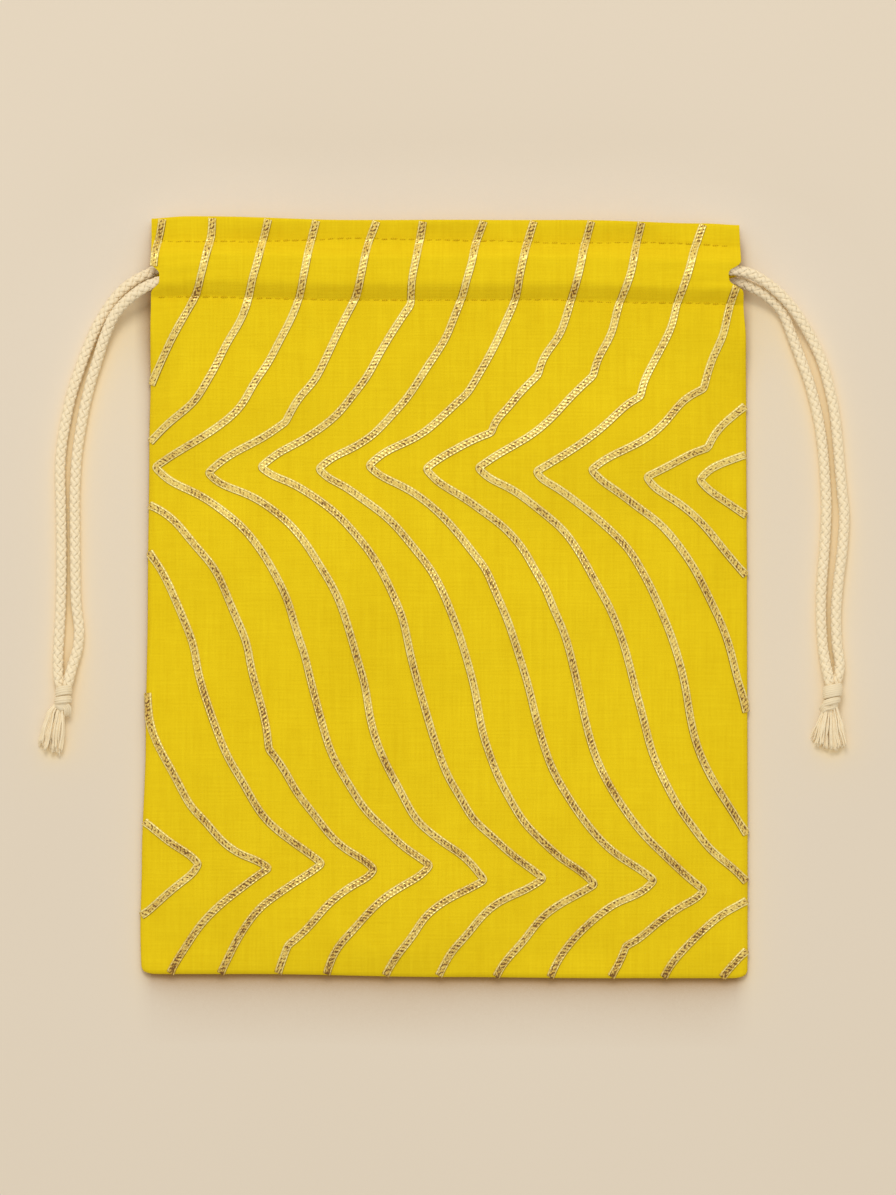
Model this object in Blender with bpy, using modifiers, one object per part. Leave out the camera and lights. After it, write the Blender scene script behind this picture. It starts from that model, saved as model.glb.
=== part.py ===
"""A flat drawstring pouch of yellow cotton, laid on its back.

Two cloths are sewn together at the sides and the bottom. Each is folded over at the mouth and
stitched twice, which makes a short header and a channel. Two cords run through both channels,
come out at opposite sides, and are knotted there. Wavy gold bands are sewn over both cloths.

Frame: +X across the pouch, +Y towards its mouth, +Z up from the surface it lies on.
"""
import math

import bmesh
import bpy
from mathutils import Vector

MM = 0.001

# Driving dimensions of the pouch
BAG_WIDTH = 202.0 * MM
BAG_LENGTH = 254.0 * MM
CLOTH = 0.5 * MM
HEADER = 7.2 * MM
CHANNEL = 19.5 * MM
HEM = 3.0 * MM
CORNER_RADIUS = 3.0 * MM
FACING_INSET = 11.0 * MM
CLEARANCE = 0.3 * MM

# How the pouch lies: heights of its seam, its body and its mouth
SEAM_RISE = 0.8 * MM
BODY_RISE = 5.6 * MM
MOUTH_GAP = 4.4 * MM
SIDE_GAP = 0.6 * MM
SIDE_ROLL = 32.0 * MM
BOTTOM_ROLL = 40.0 * MM
MOUTH_ROLL = 70.0 * MM
SLIT_RAMP = 32.0 * MM

# Cords
CORD = 3.9 * MM
LOW_LANE = 5.7 * MM
LANE_STEP = 5.7 * MM
CHANNEL_RAMP = 4.6 * MM
LEFT_SLIT_PULL = 2.4 * MM
RIGHT_SLIT_PULL = 3.7 * MM
RUN_END_INSET = 6.4 * MM

# Gold bands
BAND_WIDTH = 2.6 * MM
BAND_THICKNESS = 0.45 * MM
PATTERN_WIDTH = 202.0 * MM
PATTERN_LENGTH = 254.0 * MM
BAND_EDGE_INSET = 1.7 * MM
BAND_CLEARANCE = 0.36 * MM
BAND_STEP = 0.15 * MM
SHORTEST_BAND = 6.0 * MM

# Knots and tassels
KNOT_RADIUS = 4.1 * MM
LEFT_KNOT_LENGTH = 10.4 * MM
RIGHT_KNOT_LENGTH = 9.4 * MM
KNOT_FLATNESS = 0.9
LEFT_TASSEL_LENGTH = 14.0 * MM
RIGHT_TASSEL_LENGTH = 13.0 * MM
LEFT_TASSEL_SPREAD = 4.6 * MM
RIGHT_TASSEL_SPREAD = 6.0 * MM

# Colours read by eye: base colour, roughness
YELLOW = (0.79, 0.57, 0.02)
GOLD = (0.58, 0.36, 0.13)
CREAM = (0.84, 0.72, 0.48)

# Outline: how far each edge lies outside its nominal line, by the fraction along it
LEFT_WANDER = [(0.0, 0.8), (0.06, 1.1), (0.15, 0.6), (0.31, -0.7), (0.5, -1.4), (0.7, -1.9), (0.8, -2.4), (1.0, -2.8)]
RIGHT_WANDER = [(0.0, 1.1), (0.2, 1.1), (0.5, 0.9), (0.76, 0.6), (0.84, 0.3), (0.89, -0.4), (0.95, -1.4), (1.0, -1.9)]
TOP_WANDER = [(0.0, 0.4), (0.06, 1.1), (0.34, -0.3), (0.7, -0.3), (0.94, -1.3), (1.0, -1.8)]
BOTTOM_WANDER = [(0.0, -0.4), (0.17, -0.4), (0.5, 0.6), (0.77, 1.0), (1.0, 1.0)]

# Grid of each cloth: distances from a side, from the bottom and above the lower stitch row
COLUMN_STEPS = [0.0, 3.0, 8.0, 15.0, 25.0, 40.0, 60.0, 80.0]
BODY_STEPS = [0.0, 3.0, 8.0, 16.0, 27.0, 42.0]
FRONT_BODY_SHARES = [0.28, 0.4, 0.54, 0.68, 0.79, 0.86, 0.92, 0.965, 1.0]
BACK_BODY_SHARES = [0.35, 0.55, 0.75, 0.88, 1.0]
FOLD_TURNS = (60.0, 120.0)

# Shape of one gold band: upper and middle limb from its left cusp, lower limb from its right cusp
UPPER_LIMB = [(55.2, 86.1), (51.1, 67.3), (47.4, 53.8), (39.4, 36.3), (28.9, 20.9), (19.5, 12.8), (10.1, 6.7), (0, 0)]
MIDDLE_LIMB = [(0, 0), (14.8, -7.4), (26.9, -16.8), (37.7, -30.3), (45.8, -45.4), (51.1, -63.9), (57.2, -88.1),
               (64.6, -106.0), (73.3, -121.1), (84.1, -131.2), (94.5, -137.3)]
LOWER_LIMB = [(0, 0), (-9.7, -6.7), (-19.8, -13.4), (-28.6, -24.2), (-32.6, -30.9), (-35.3, -38.7)]

# Left and right cusp of each gold band of the front, from left to right; some lie off the cloth
BAND_CUSPS = [((-177.1, 47.0), (-82.6, -92.3)), ((-148.0, 46.0), (-58.9, -90.9)), ((-134.3, 45.0), (-41.0, -89.4)),
              ((-115.4, 44.0), (-23.2, -93.6)), ((-96.2, 43.0), (-4.7, -89.9)), ((-79.2, 41.9), (13.6, -95.0)),
              ((-61.6, 44.0), (33.5, -94.3)), ((-42.1, 42.4), (50.8, -96.5)), ((-25.2, 44.3), (70.6, -95.0)),
              ((-6.1, 43.3), (87.5, -98.9)), ((11.4, 43.3), (105.6, -98.0)), ((30.9, 42.4), (123.0, -103.0)),
              ((49.5, 42.6), (137.4, -103.0)), ((68.0, 39.9), (153.0, -111.1)), ((85.8, 38.9), (175.0, -112.0))]

# Routes of the cord tails, from the slit to the knot
LEFT_OUTER_ROUTE = [(-99.6, 110.2, 3.4), (-103.6, 107.2, 3.2), (-109.4, 102.2, 2.8), (-115.2, 94.3, 2.3),
                    (-119.3, 85.9, 2.1), (-122.7, 77.0, 2.05), (-125.3, 69.0, 2.05), (-127.3, 60.1, 2.05),
                    (-128.8, 50.7, 2.05), (-129.3, 42.3, 2.05), (-129.1, 32.9, 2.05), (-128.9, 20.4, 2.05),
                    (-128.9, 7.3, 2.05), (-129.2, -5.5, 2.05), (-129.8, -18.3, 2.2), (-130.1, -28.7, 3.2)]
LEFT_INNER_ROUTE = [(-100.2, 104.4, 8.7), (-106.3, 100.1, 6.9), (-110.8, 95.1, 5.4), (-114.1, 88.0, 4.0),
                    (-116.6, 80.3, 2.9), (-118.9, 72.9, 2.3), (-121.0, 64.5, 2.05), (-122.5, 56.1, 2.05),
                    (-123.7, 47.7, 2.05), (-124.2, 39.6, 2.05), (-124.4, 32.9, 2.05), (-124.3, 20.4, 2.05),
                    (-124.2, 7.3, 2.05), (-123.9, -2.1, 2.05), (-122.9, -10.5, 2.05), (-123.4, -16.9, 2.1),
                    (-125.1, -23.5, 2.6), (-125.9, -28.7, 3.2)]
RIGHT_OUTER_ROUTE = [(100.6, 109.4, 9.0), (105.6, 107.5, 7.7), (111.3, 103.5, 6.1), (116.4, 98.5, 4.7),
                     (120.8, 92.4, 3.5), (124.6, 85.7, 2.6), (127.5, 79.0, 2.15), (129.6, 71.2, 2.05),
                     (131.3, 63.5, 2.05), (132.4, 54.4, 2.05), (133.2, 45.0, 2.05), (134.2, 34.5, 2.05),
                     (134.8, 28.0, 2.05), (134.2, 17.1, 2.05), (132.7, 4.3, 2.05), (132.0, -5.5, 2.05),
                     (132.3, -15.2, 2.1), (133.1, -22.5, 2.6), (132.9, -27.7, 3.2)]
RIGHT_INNER_ROUTE = [(101.3, 104.0, 3.4), (107.3, 101.0, 3.2), (112.4, 96.0, 2.8), (116.4, 89.0, 2.3),
                     (119.6, 82.0, 2.05), (122.4, 74.6, 2.05), (124.6, 66.8, 2.05), (126.3, 59.1, 2.05),
                     (127.5, 50.7, 2.05), (128.2, 42.3, 2.05), (128.8, 29.8, 2.05), (128.2, 17.1, 2.05),
                     (127.2, 4.3, 2.05), (127.0, -5.5, 2.05), (127.4, -15.2, 2.1), (128.2, -22.5, 2.6),
                     (128.6, -27.7, 3.2)]
LEFT_KNOT_TOP = (-128.0, -29.0)
RIGHT_KNOT_TOP = (130.75, -28.0)
LEFT_TASSEL_TURN = (-0.40, -1.0)
RIGHT_TASSEL_TURN = (-0.03, -1.0)

# Heights that follow from the layers stacked between the surface and the top cloth
BACK_OUTER = BAND_THICKNESS + BAND_CLEARANCE + CLOTH / 2
LAYER_STEP = CLOTH + CLEARANCE
CORD_LIFT = CORD + CLEARANCE
BACK_CORD_HEIGHT = BACK_OUTER + CLOTH / 2 + CLEARANCE + CORD / 2
BACK_FACING_TOP = BACK_OUTER + LAYER_STEP + CORD_LIFT + CLOTH / 2
PRESS_AT_SIDE = BACK_FACING_TOP + SIDE_GAP + LAYER_STEP + CLOTH / 2
PRESS_AT_CENTRE = BACK_FACING_TOP + MOUTH_GAP + LAYER_STEP + CLOTH / 2
SEAM_TOP = BACK_OUTER + SEAM_RISE + LAYER_STEP
CHANNEL_CENTRE = LOW_LANE + LANE_STEP / 2


def table_value(table, share):
    """Smoothly read a table of (share, millimetres) pairs."""
    for (low, first), (high, last) in zip(table, table[1:]):
        if share <= high:
            blend = max(0.0, (share - low) / (high - low))
            blend = blend * blend * (3.0 - 2.0 * blend)
            return (first + (last - first) * blend) * MM
    return table[-1][1] * MM


def ease(share):
    """Rise quickly from 0 and settle gently at 1."""
    share = min(max(share, 0.0), 1.0)
    return 1.0 - (1.0 - share) ** 3


def smooth(share):
    """Rise from 0 to 1 with level ends."""
    share = min(max(share, 0.0), 1.0)
    return share * share * (3.0 - 2.0 * share)


def corner_cut(distance):
    """How far a rounded corner draws an edge in, this far from the corner."""
    reach = max(CORNER_RADIUS - distance, 0.0)
    return CORNER_RADIUS - math.sqrt(CORNER_RADIUS ** 2 - min(reach, CORNER_RADIUS) ** 2)


CORNER_START = CORNER_RADIUS * (1.0 - math.sqrt(0.5))


def top_edge(across):
    """Y of the mouth's edge, at this share of the width."""
    return BAG_LENGTH / 2 + table_value(TOP_WANDER, across)


def bottom_edge(across):
    """Y of the bottom edge, at this share of the width."""
    nominal = -BAG_LENGTH / 2 - table_value(BOTTOM_WANDER, across)
    side_distance = min(across, 1.0 - across) * BAG_WIDTH + CORNER_START
    return nominal + corner_cut(side_distance)


def lower_stitch(across):
    """Y of the stitch row under the channel."""
    return top_edge(across) - HEADER - CHANNEL


def slit_pull(front, amount, y, across):
    """How far the cords draw the cloth's side edge in where they come out."""
    middle = lower_stitch(across) + CHANNEL_CENTRE
    share = 1.0 if front else 0.4
    return share * amount * math.exp(-((y - middle) / (0.33 * CHANNEL)) ** 2)


def left_edge(front, y):
    """X of the left edge at this height along the pouch."""
    share = (y + BAG_LENGTH / 2) / BAG_LENGTH
    corner = corner_cut(y + BAG_LENGTH / 2 + table_value(BOTTOM_WANDER, 0.0))
    pull = slit_pull(front, LEFT_SLIT_PULL, y, 0.0)
    return -BAG_WIDTH / 2 - table_value(LEFT_WANDER, share) + corner + pull


def right_edge(front, y):
    """X of the right edge at this height along the pouch."""
    share = (y + BAG_LENGTH / 2) / BAG_LENGTH
    corner = corner_cut(y + BAG_LENGTH / 2 + table_value(BOTTOM_WANDER, 1.0))
    pull = slit_pull(front, RIGHT_SLIT_PULL, y, 1.0)
    return BAG_WIDTH / 2 + table_value(RIGHT_WANDER, share) - corner - pull


def channel_bulge(above_stitch):
    """Share of the cords' height by which a channel stands out, above the lower stitch row."""
    rise = smooth(above_stitch / CHANNEL_RAMP)
    fall_start = LOW_LANE + LANE_STEP + CORD / 2
    fall = smooth((above_stitch - fall_start) / (CHANNEL - fall_start))
    return rise * (1.0 - fall)


def press_height(side_distance):
    """Height of the front outer cloth where the stitches press its layers together."""
    return PRESS_AT_SIDE + (PRESS_AT_CENTRE - PRESS_AT_SIDE) * ease(side_distance / MOUTH_ROLL)


def body_height(front, across, climb):
    """Height of the outer cloth below the channel; climb is 0 at the bottom and 1 at the stitches."""
    side_distance = min(across, 1.0 - across) * BAG_WIDTH
    length = lower_stitch(across) - bottom_edge(across)
    below_stitch = (1.0 - climb) * length
    opening = smooth(1.0 - below_stitch / SLIT_RAMP)
    round_off = ease(side_distance / SIDE_ROLL) * ease(climb * length / BOTTOM_ROLL)
    if not front:
        return BACK_OUTER + SEAM_RISE * (1.0 - ease(3.0 * side_distance / SIDE_ROLL + opening)
                                         * ease(3.0 * climb * length / BOTTOM_ROLL))
    edge = SEAM_TOP + (PRESS_AT_SIDE - SEAM_TOP) * opening
    middle = BODY_RISE + (press_height(side_distance) - BODY_RISE) * climb ** 1.6
    return edge + (middle - edge) * (round_off + (1.0 - round_off) * opening)


def outer_height(front, across, climb):
    """Height of the middle of the outer cloth; climb runs from 1 to 2 over channel and header."""
    if climb <= 1.0:
        return body_height(front, across, climb)
    if not front:
        return BACK_OUTER
    side_distance = min(across, 1.0 - across) * BAG_WIDTH
    above_stitch = (climb - 1.0) * (HEADER + CHANNEL)
    return press_height(side_distance) + CORD_LIFT * channel_bulge(above_stitch)


def facing_height(front, across, climb):
    """Height of the middle of the inner facing."""
    if climb <= 1.0:
        step = -LAYER_STEP if front else LAYER_STEP
        return body_height(front, across, climb) + step
    side_distance = min(across, 1.0 - across) * BAG_WIDTH
    if front:
        return press_height(side_distance) - LAYER_STEP
    above_stitch = (climb - 1.0) * (HEADER + CHANNEL)
    return BACK_OUTER + LAYER_STEP + CORD_LIFT * channel_bulge(above_stitch)


def place_y(across, climb):
    """Y of a grid point."""
    stitch = lower_stitch(across)
    if climb <= 1.0:
        low = bottom_edge(across)
        return low + (stitch - low) * climb
    return stitch + (top_edge(across) - stitch) * (climb - 1.0)


def place_x(front, across, y):
    """X of a grid point."""
    left = left_edge(front, y)
    return left + (right_edge(front, y) - left) * across


def grid_shares(front, x, y):
    """The grid shares (across, climb) of a point in plan."""
    left = left_edge(front, y)
    across = (x - left) / (right_edge(front, y) - left)
    clipped = min(max(across, 0.0), 1.0)
    stitch = lower_stitch(clipped)
    if y <= stitch:
        low = bottom_edge(clipped)
        return across, (y - low) / (stitch - low)
    return across, 1.0 + (y - stitch) / (top_edge(clipped) - stitch)


def columns():
    """Shares of the width at which a cloth has its columns."""
    near = [step * MM / BAG_WIDTH for step in COLUMN_STEPS]
    return near + [0.5] + [1.0 - share for share in reversed(near)]


def channel_heights():
    """Heights above the lower stitch row at which a bulging layer of the channel has its rows."""
    fall_start = LOW_LANE + LANE_STEP + CORD / 2
    return [CHANNEL_RAMP / 2, CHANNEL_RAMP, CHANNEL_CENTRE, fall_start,
            (2 * fall_start + CHANNEL) / 3, (fall_start + 2 * CHANNEL) / 3, CHANNEL]


def climb_at(above_stitch):
    """Climb value of a height above the lower stitch row."""
    return 1.0 + above_stitch / (HEADER + CHANNEL)


def outer_rows(front):
    """Climb values of the outer cloth's rows, from the bottom edge to the mouth's fold."""
    body_length = BAG_LENGTH - HEADER - CHANNEL
    rows = [step * MM / body_length for step in BODY_STEPS]
    rows += FRONT_BODY_SHARES if front else BACK_BODY_SHARES
    heights = channel_heights() if front else [CHANNEL]
    return rows + [climb_at(height) for height in heights]


def facing_rows(front):
    """Climb values of the facing's rows, from the fold down to the hem."""
    body_length = BAG_LENGTH - HEADER - CHANNEL
    heights = [CHANNEL_CENTRE, CHANNEL] if front else channel_heights()
    return [climb_at(height) for height in reversed(heights)] + [1.0, 1.0 - HEM / body_length]


def faceted_height(front, across, climb):
    """Height of the outer cloth read between its grid lines, as the modelled sheet has it."""
    across = min(max(across, 0.0), 1.0)
    near = columns()
    rows = outer_rows(front) + [2.0]
    column = max(i for i in range(len(near) - 1) if near[i] <= across)
    row = max([i for i in range(len(rows) - 1) if rows[i] <= climb] or [0])
    right = (across - near[column]) / (near[column + 1] - near[column])
    up = (climb - rows[row]) / (rows[row + 1] - rows[row])
    low = outer_height(front, near[column], rows[row]) * (1 - right)
    low += outer_height(front, near[column + 1], rows[row]) * right
    high = outer_height(front, near[column], rows[row + 1]) * (1 - right)
    high += outer_height(front, near[column + 1], rows[row + 1]) * right
    return low * (1 - up) + high * up


def make_material(name, colour, roughness, metallic):
    """A Principled material."""
    material = bpy.data.materials.new(name)
    material.use_nodes = True
    shader = material.node_tree.nodes["Principled BSDF"]
    shader.inputs["Base Color"].default_value = (*colour, 1.0)
    shader.inputs["Roughness"].default_value = roughness
    shader.inputs["Metallic"].default_value = metallic
    return material


def add_object(name, data, material, collection):
    """Put a mesh or curve into the pouch's collection."""
    item = bpy.data.objects.new(name, data)
    item.data.materials.append(material)
    collection.objects.link(item)
    return item


def add_grid(name, rows_of_points, material, collection):
    """A sheet of quads through rows of points."""
    mesh = bpy.data.meshes.new(name)
    work = bmesh.new()
    rows = [[work.verts.new(point) for point in row] for row in rows_of_points]
    for low, high in zip(rows, rows[1:]):
        for i in range(len(low) - 1):
            work.faces.new((low[i], low[i + 1], high[i + 1], high[i]))
    work.to_mesh(mesh)
    work.free()
    return add_object(name, mesh, material, collection)


def add_solidify(item, thickness, offset):
    """Give a sheet its thickness."""
    solidify = item.modifiers.new("Thickness", "SOLIDIFY")
    solidify.thickness = thickness
    solidify.offset = offset
    solidify.use_even_offset = True
    return solidify


def facing_end(side):
    """X of the side end of both facings, level over the channel; side is -1 or 1."""
    y = lower_stitch(0.5 + side / 2) + CHANNEL_CENTRE
    edge = right_edge(True, y) if side > 0 else left_edge(True, y)
    return edge - side * FACING_INSET


def facing_x(front, across, y, climb):
    """X on the facing, which narrows from the fold to its full inset at the upper stitch row."""
    share = min(1.0, (2.0 - climb) * (HEADER + CHANNEL) / HEADER)
    left = left_edge(front, y) * (1.0 - share) + facing_end(-1) * share
    right = right_edge(front, y) * (1.0 - share) + facing_end(1) * share
    return left + (right - left) * across


def cloth_rows(front):
    """Rows of points of one folded cloth: outer layer, fold at the mouth, inner facing."""
    rows = []
    radius = LAYER_STEP / 2
    for climb in outer_rows(front):
        row = []
        for across in columns():
            y = place_y(across, climb)
            row.append((place_x(front, across, y), y, outer_height(front, across, climb)))
        rows.append(row)
    turn = -1.0 if front else 1.0
    for angle in (0.0, *FOLD_TURNS, 180.0):
        row = []
        for across in columns():
            y = top_edge(across) - CLOTH / 2 - radius + radius * math.sin(math.radians(angle))
            z = outer_height(front, across, 2.0) + turn * radius * (1.0 - math.cos(math.radians(angle)))
            row.append((place_x(front, across, y), y, z))
        rows.append(row)
    for climb in facing_rows(front):
        row = []
        for across in columns():
            y = place_y(across, climb)
            x = facing_x(front, across, y, climb)
            real_across = grid_shares(front, x, y)[0]
            row.append((x, y, facing_height(front, real_across, climb)))
        rows.append(row)
    return rows


def build_cloth(name, front, material, collection):
    """One cloth of the pouch."""
    sheet = add_grid(name, cloth_rows(front), material, collection)
    add_solidify(sheet, CLOTH, 0.0)
    sheet.data.shade_smooth()
    return sheet


def spline_through(points, step):
    """Evenly spaced points on a smooth curve through the given ones."""
    dense = []
    last = len(points) - 1
    for i in range(last):
        before = points[max(i - 1, 0)]
        start, end = points[i], points[i + 1]
        after = points[min(i + 2, last)]
        for k in range(24):
            t = k / 24
            dense.append(0.5 * (2 * start + (end - before) * t
                                + (2 * before - 5 * start + 4 * end - after) * t * t
                                + (3 * start - before - 3 * end + after) * t ** 3))
    dense.append(points[last])
    lengths = [0.0]
    for a, b in zip(dense, dense[1:]):
        lengths.append(lengths[-1] + (b - a).length)
    count = max(2, round(lengths[-1] / step))
    result = []
    k = 0
    for i in range(count + 1):
        target = lengths[-1] * i / count
        while k < len(lengths) - 2 and lengths[k + 1] < target:
            k += 1
        span = lengths[k + 1] - lengths[k]
        result.append(dense[k].lerp(dense[k + 1], (target - lengths[k]) / span))
    return result


def add_cord(name, points, material, collection):
    """A round cord along a row of points."""
    curve = bpy.data.curves.new(name, "CURVE")
    curve.dimensions = "3D"
    curve.bevel_depth = CORD / 2
    curve.bevel_resolution = 2
    curve.use_fill_caps = True
    spline = curve.splines.new("POLY")
    spline.points.add(len(points) - 1)
    for place, point in zip(spline.points, points):
        place.co = (*point, 1.0)
    return add_object(name, curve, material, collection)


def strand_point(x, lane, in_front):
    """A point on a strand inside a channel."""
    across = (x + BAG_WIDTH / 2) / BAG_WIDTH
    y = lower_stitch(across) + lane
    real_across = grid_shares(True, x, y)[0]
    side_distance = min(real_across, 1.0 - real_across) * BAG_WIDTH
    front_height = press_height(side_distance) - LAYER_STEP + CLOTH / 2 + CLEARANCE + CORD / 2
    return Vector((x, y, front_height if in_front else BACK_CORD_HEIGHT))


def run_end_x(side):
    """X at which the strands that come out at this side meet their tails."""
    y = lower_stitch(0.5 + side / 2) + CHANNEL_CENTRE
    edge = right_edge(True, y) if side > 0 else left_edge(True, y)
    return edge - side * (RUN_END_INSET - CORD)


def build_cord_run(name, side, material, collection):
    """A cord through both channels: in at one side, round the facings at the other, and back."""
    front_lane = LOW_LANE if side < 0 else LOW_LANE + LANE_STEP
    back_lane = LOW_LANE + LANE_STEP if side < 0 else LOW_LANE
    turn_x = facing_end(-side) + side * CLEARANCE
    start_x = run_end_x(side)
    count = 13
    front = [strand_point(start_x + (turn_x - start_x) * i / count, front_lane, True) for i in range(count + 1)]
    back = [strand_point(turn_x + (start_x - turn_x) * i / count, back_lane, False) for i in range(count + 1)]
    middle = (front[-1] + back[0]) / 2
    reach = front[-1] - middle
    outward = Vector((-side * reach.length, 0.0, 0.0))
    bend = []
    for i in range(1, 8):
        angle = math.pi * i / 8
        bend.append(middle + reach * math.cos(angle) + outward * math.sin(angle))
    return add_cord(name, front + bend + back, material, collection)


def route_points(route):
    """A route's hand-chosen points in metres."""
    return [Vector(point) * MM for point in route]


def build_tail(name, side, in_front, route, material, collection):
    """A free tail, from where its strand ends inside the slit to the knot."""
    lane = LOW_LANE if (side < 0) == in_front else LOW_LANE + LANE_STEP
    run_end = strand_point(run_end_x(side), lane, in_front)
    outward = (run_end - strand_point(run_end_x(side) - side * CORD, lane, in_front)).normalized()
    start = run_end + outward * CLEARANCE
    near = start + outward * CORD / 2
    points = spline_through([near] + route_points(route), CORD * 2.2)
    return add_cord(name, [start] + points, material, collection)


def lay_along(item, start, direction):
    """Turn an object's Z axis along a level direction and move it there."""
    item.rotation_mode = "QUATERNION"
    item.rotation_quaternion = Vector((direction[0], direction[1], 0.0)).to_track_quat("Z", "Y")
    item.location = start


def build_knot(name, top, length, material, collection):
    """A knot: three turns of cord side by side, turned as one body."""
    mesh = bpy.data.meshes.new(name)
    work = bmesh.new()
    profile = [(0.0, length), (0.72 * KNOT_RADIUS, length)]
    turns = 3
    for turn in range(turns):
        for share, radius in ((0.25, 0.96), (0.75, 0.96), (1.0, 0.84)):
            height = length * (1.0 - (turn + share) / turns * 0.98 - 0.01)
            profile.append((radius * KNOT_RADIUS, height))
    profile += [(0.72 * KNOT_RADIUS, 0.0), (0.0, 0.0)]
    ring = [work.verts.new((radius, 0.0, height)) for radius, height in profile]
    for a, b in zip(ring, ring[1:]):
        work.edges.new((a, b))
    work.to_mesh(mesh)
    work.free()
    knot = add_object(name, mesh, material, collection)
    screw = knot.modifiers.new("Turning", "SCREW")
    screw.angle = math.tau
    screw.steps = 14
    screw.render_steps = 14
    screw.use_merge_vertices = True
    screw.merge_threshold = 0.00002
    lay_along(knot, Vector((top[0] * MM, top[1] * MM, KNOT_RADIUS * KNOT_FLATNESS + 0.05 * MM)), (0.0, -1.0))
    knot.scale = (1.0, KNOT_FLATNESS, 1.0)
    return knot


def build_tassel(name, start, turn, length, spread, material, collection):
    """The frayed ends under a knot: a lobed skirt that widens and flattens."""
    along = Vector((turn[0], turn[1], 0.0)).normalized()
    sides = 20
    stations = [(0.0, 3.0 * MM, 2.7 * MM), (0.25, 3.2 * MM, 2.3 * MM), (0.6, 0.86 * spread, 2.0 * MM),
                (1.0, spread, 1.7 * MM)]
    mesh = bpy.data.meshes.new(name)
    work = bmesh.new()
    rings = []
    for share, half_width, half_height in stations:
        centre_height = max(half_height * 1.1, KNOT_RADIUS * KNOT_FLATNESS * (1.0 - share))
        centre = start + along * (length * share) + Vector((0.0, 0.0, centre_height + 0.05 * MM))
        facing = Vector((0.0, -1.0, 0.0)).lerp(along, min(1.0, 2.0 * share)).normalized()
        sideways = Vector((-facing.y, facing.x, 0.0))
        ring = []
        for i in range(sides):
            angle = math.tau * i / sides
            lobe = 1.0 + 0.09 * math.cos(5 * angle * 2) * min(1.0, 0.3 + share)
            offset = sideways * (half_width * math.cos(angle) * lobe)
            offset += Vector((0.0, 0.0, half_height * math.sin(angle) * lobe))
            ring.append(work.verts.new(centre + offset))
        rings.append(ring)
    for low, high in zip(rings, rings[1:]):
        for i in range(sides):
            k = (i + 1) % sides
            work.faces.new((low[i], low[k], high[k], high[i]))
    work.faces.new(list(reversed(rings[0])))
    work.faces.new(rings[-1])
    bmesh.ops.recalc_face_normals(work, faces=work.faces)
    work.to_mesh(mesh)
    work.free()
    return add_object(name, mesh, material, collection)


def band_limbs(left_cusp, right_cusp):
    """The three limbs of a gold band in the pattern's own millimetres."""
    left_x, left_y = left_cusp
    right_x, right_y = right_cusp
    wide = (right_x - left_x) / MIDDLE_LIMB[-1][0]
    long = (right_y - left_y) / MIDDLE_LIMB[-1][1]
    upper = [(left_x + x, left_y + y) for x, y in UPPER_LIMB]
    middle = [(left_x + x * wide, left_y + y * long) for x, y in MIDDLE_LIMB]
    lower = [(right_x + x, right_y + y) for x, y in LOWER_LIMB]
    return upper, middle, lower


def pattern_point(front, x, y):
    """A point of the pattern on the cloth; the back has it mirrored."""
    side = 1.0 if front else -1.0
    return Vector((side * x * MM * BAG_WIDTH / PATTERN_WIDTH, y * MM * BAG_LENGTH / PATTERN_LENGTH, 0.0))


def band_path(front, left_cusp, right_cusp):
    """Fine points of one gold band in plan, and the places of its two cusps among them."""
    points = []
    cusps = []
    for limb in band_limbs(left_cusp, right_cusp):
        fine = spline_through([pattern_point(front, x, y) for x, y in limb], BAND_STEP)
        cusps.append(len(points))
        points += fine if not points else fine[1:]
    return points, [index - 1 for index in cusps[1:]]


def inside(front, point):
    """Whether a band's centre may lie here, clear of the cloth's edges."""
    if abs(point.y) > BAG_LENGTH:
        return False
    across, climb = grid_shares(front, point.x, point.y)
    if not 0.0 < across < 1.0:
        return False
    width = right_edge(front, point.y) - left_edge(front, point.y)
    side_distance = min(across, 1.0 - across) * width
    if side_distance < BAND_EDGE_INSET:
        return False
    below_top = top_edge(across) - point.y
    above_bottom = point.y - bottom_edge(across)
    return below_top > BAND_EDGE_INSET and above_bottom > BAND_EDGE_INSET


def on_cloth(front, point):
    """The cloth's surface point under a band, pushed out past the clearance along the surface's normal."""
    def height(x, y):
        across, climb = grid_shares(front, x, y)
        return faceted_height(front, across, climb)
    reach = 0.4 * MM
    z = height(point.x, point.y)
    slope_x = (height(point.x + reach, point.y) - height(point.x - reach, point.y)) / (2 * reach)
    slope_y = (height(point.x, point.y + reach) - height(point.x, point.y - reach)) / (2 * reach)
    normal = Vector((-slope_x, -slope_y, 1.0)).normalized()
    if not front:
        normal = -normal
    return Vector((point.x, point.y, z)) + normal * (CLOTH / 2 + BAND_CLEARANCE)


def band_stations(front, points, cusps, start, end):
    """Indices of the points that keep a section: cusps, ends and crossings of the cloth's grid."""
    near = columns()
    rows = outer_rows(front)

    def cell(point):
        across, climb = grid_shares(front, point.x, point.y)
        column = 0 if climb > 0.98 else sum(across > share for share in near)
        return column, sum(climb > row for row in rows)

    shortest = 1.2 * MM
    longest = 16.0 * MM
    kept = [start]
    fixed = [index for index in cusps if start < index < end] + [end]
    previous = cell(points[start])
    for index in range(start + 1, end + 1):
        travelled = (index - kept[-1]) * BAND_STEP
        ahead = min((fix - index) * BAND_STEP for fix in fixed if fix >= index)
        here = cell(points[index])
        crossing = here != previous
        previous = here
        if index in fixed:
            kept.append(index)
        elif travelled >= longest or (crossing and travelled >= shortest and ahead >= shortest):
            kept.append(index)
    return kept


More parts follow.
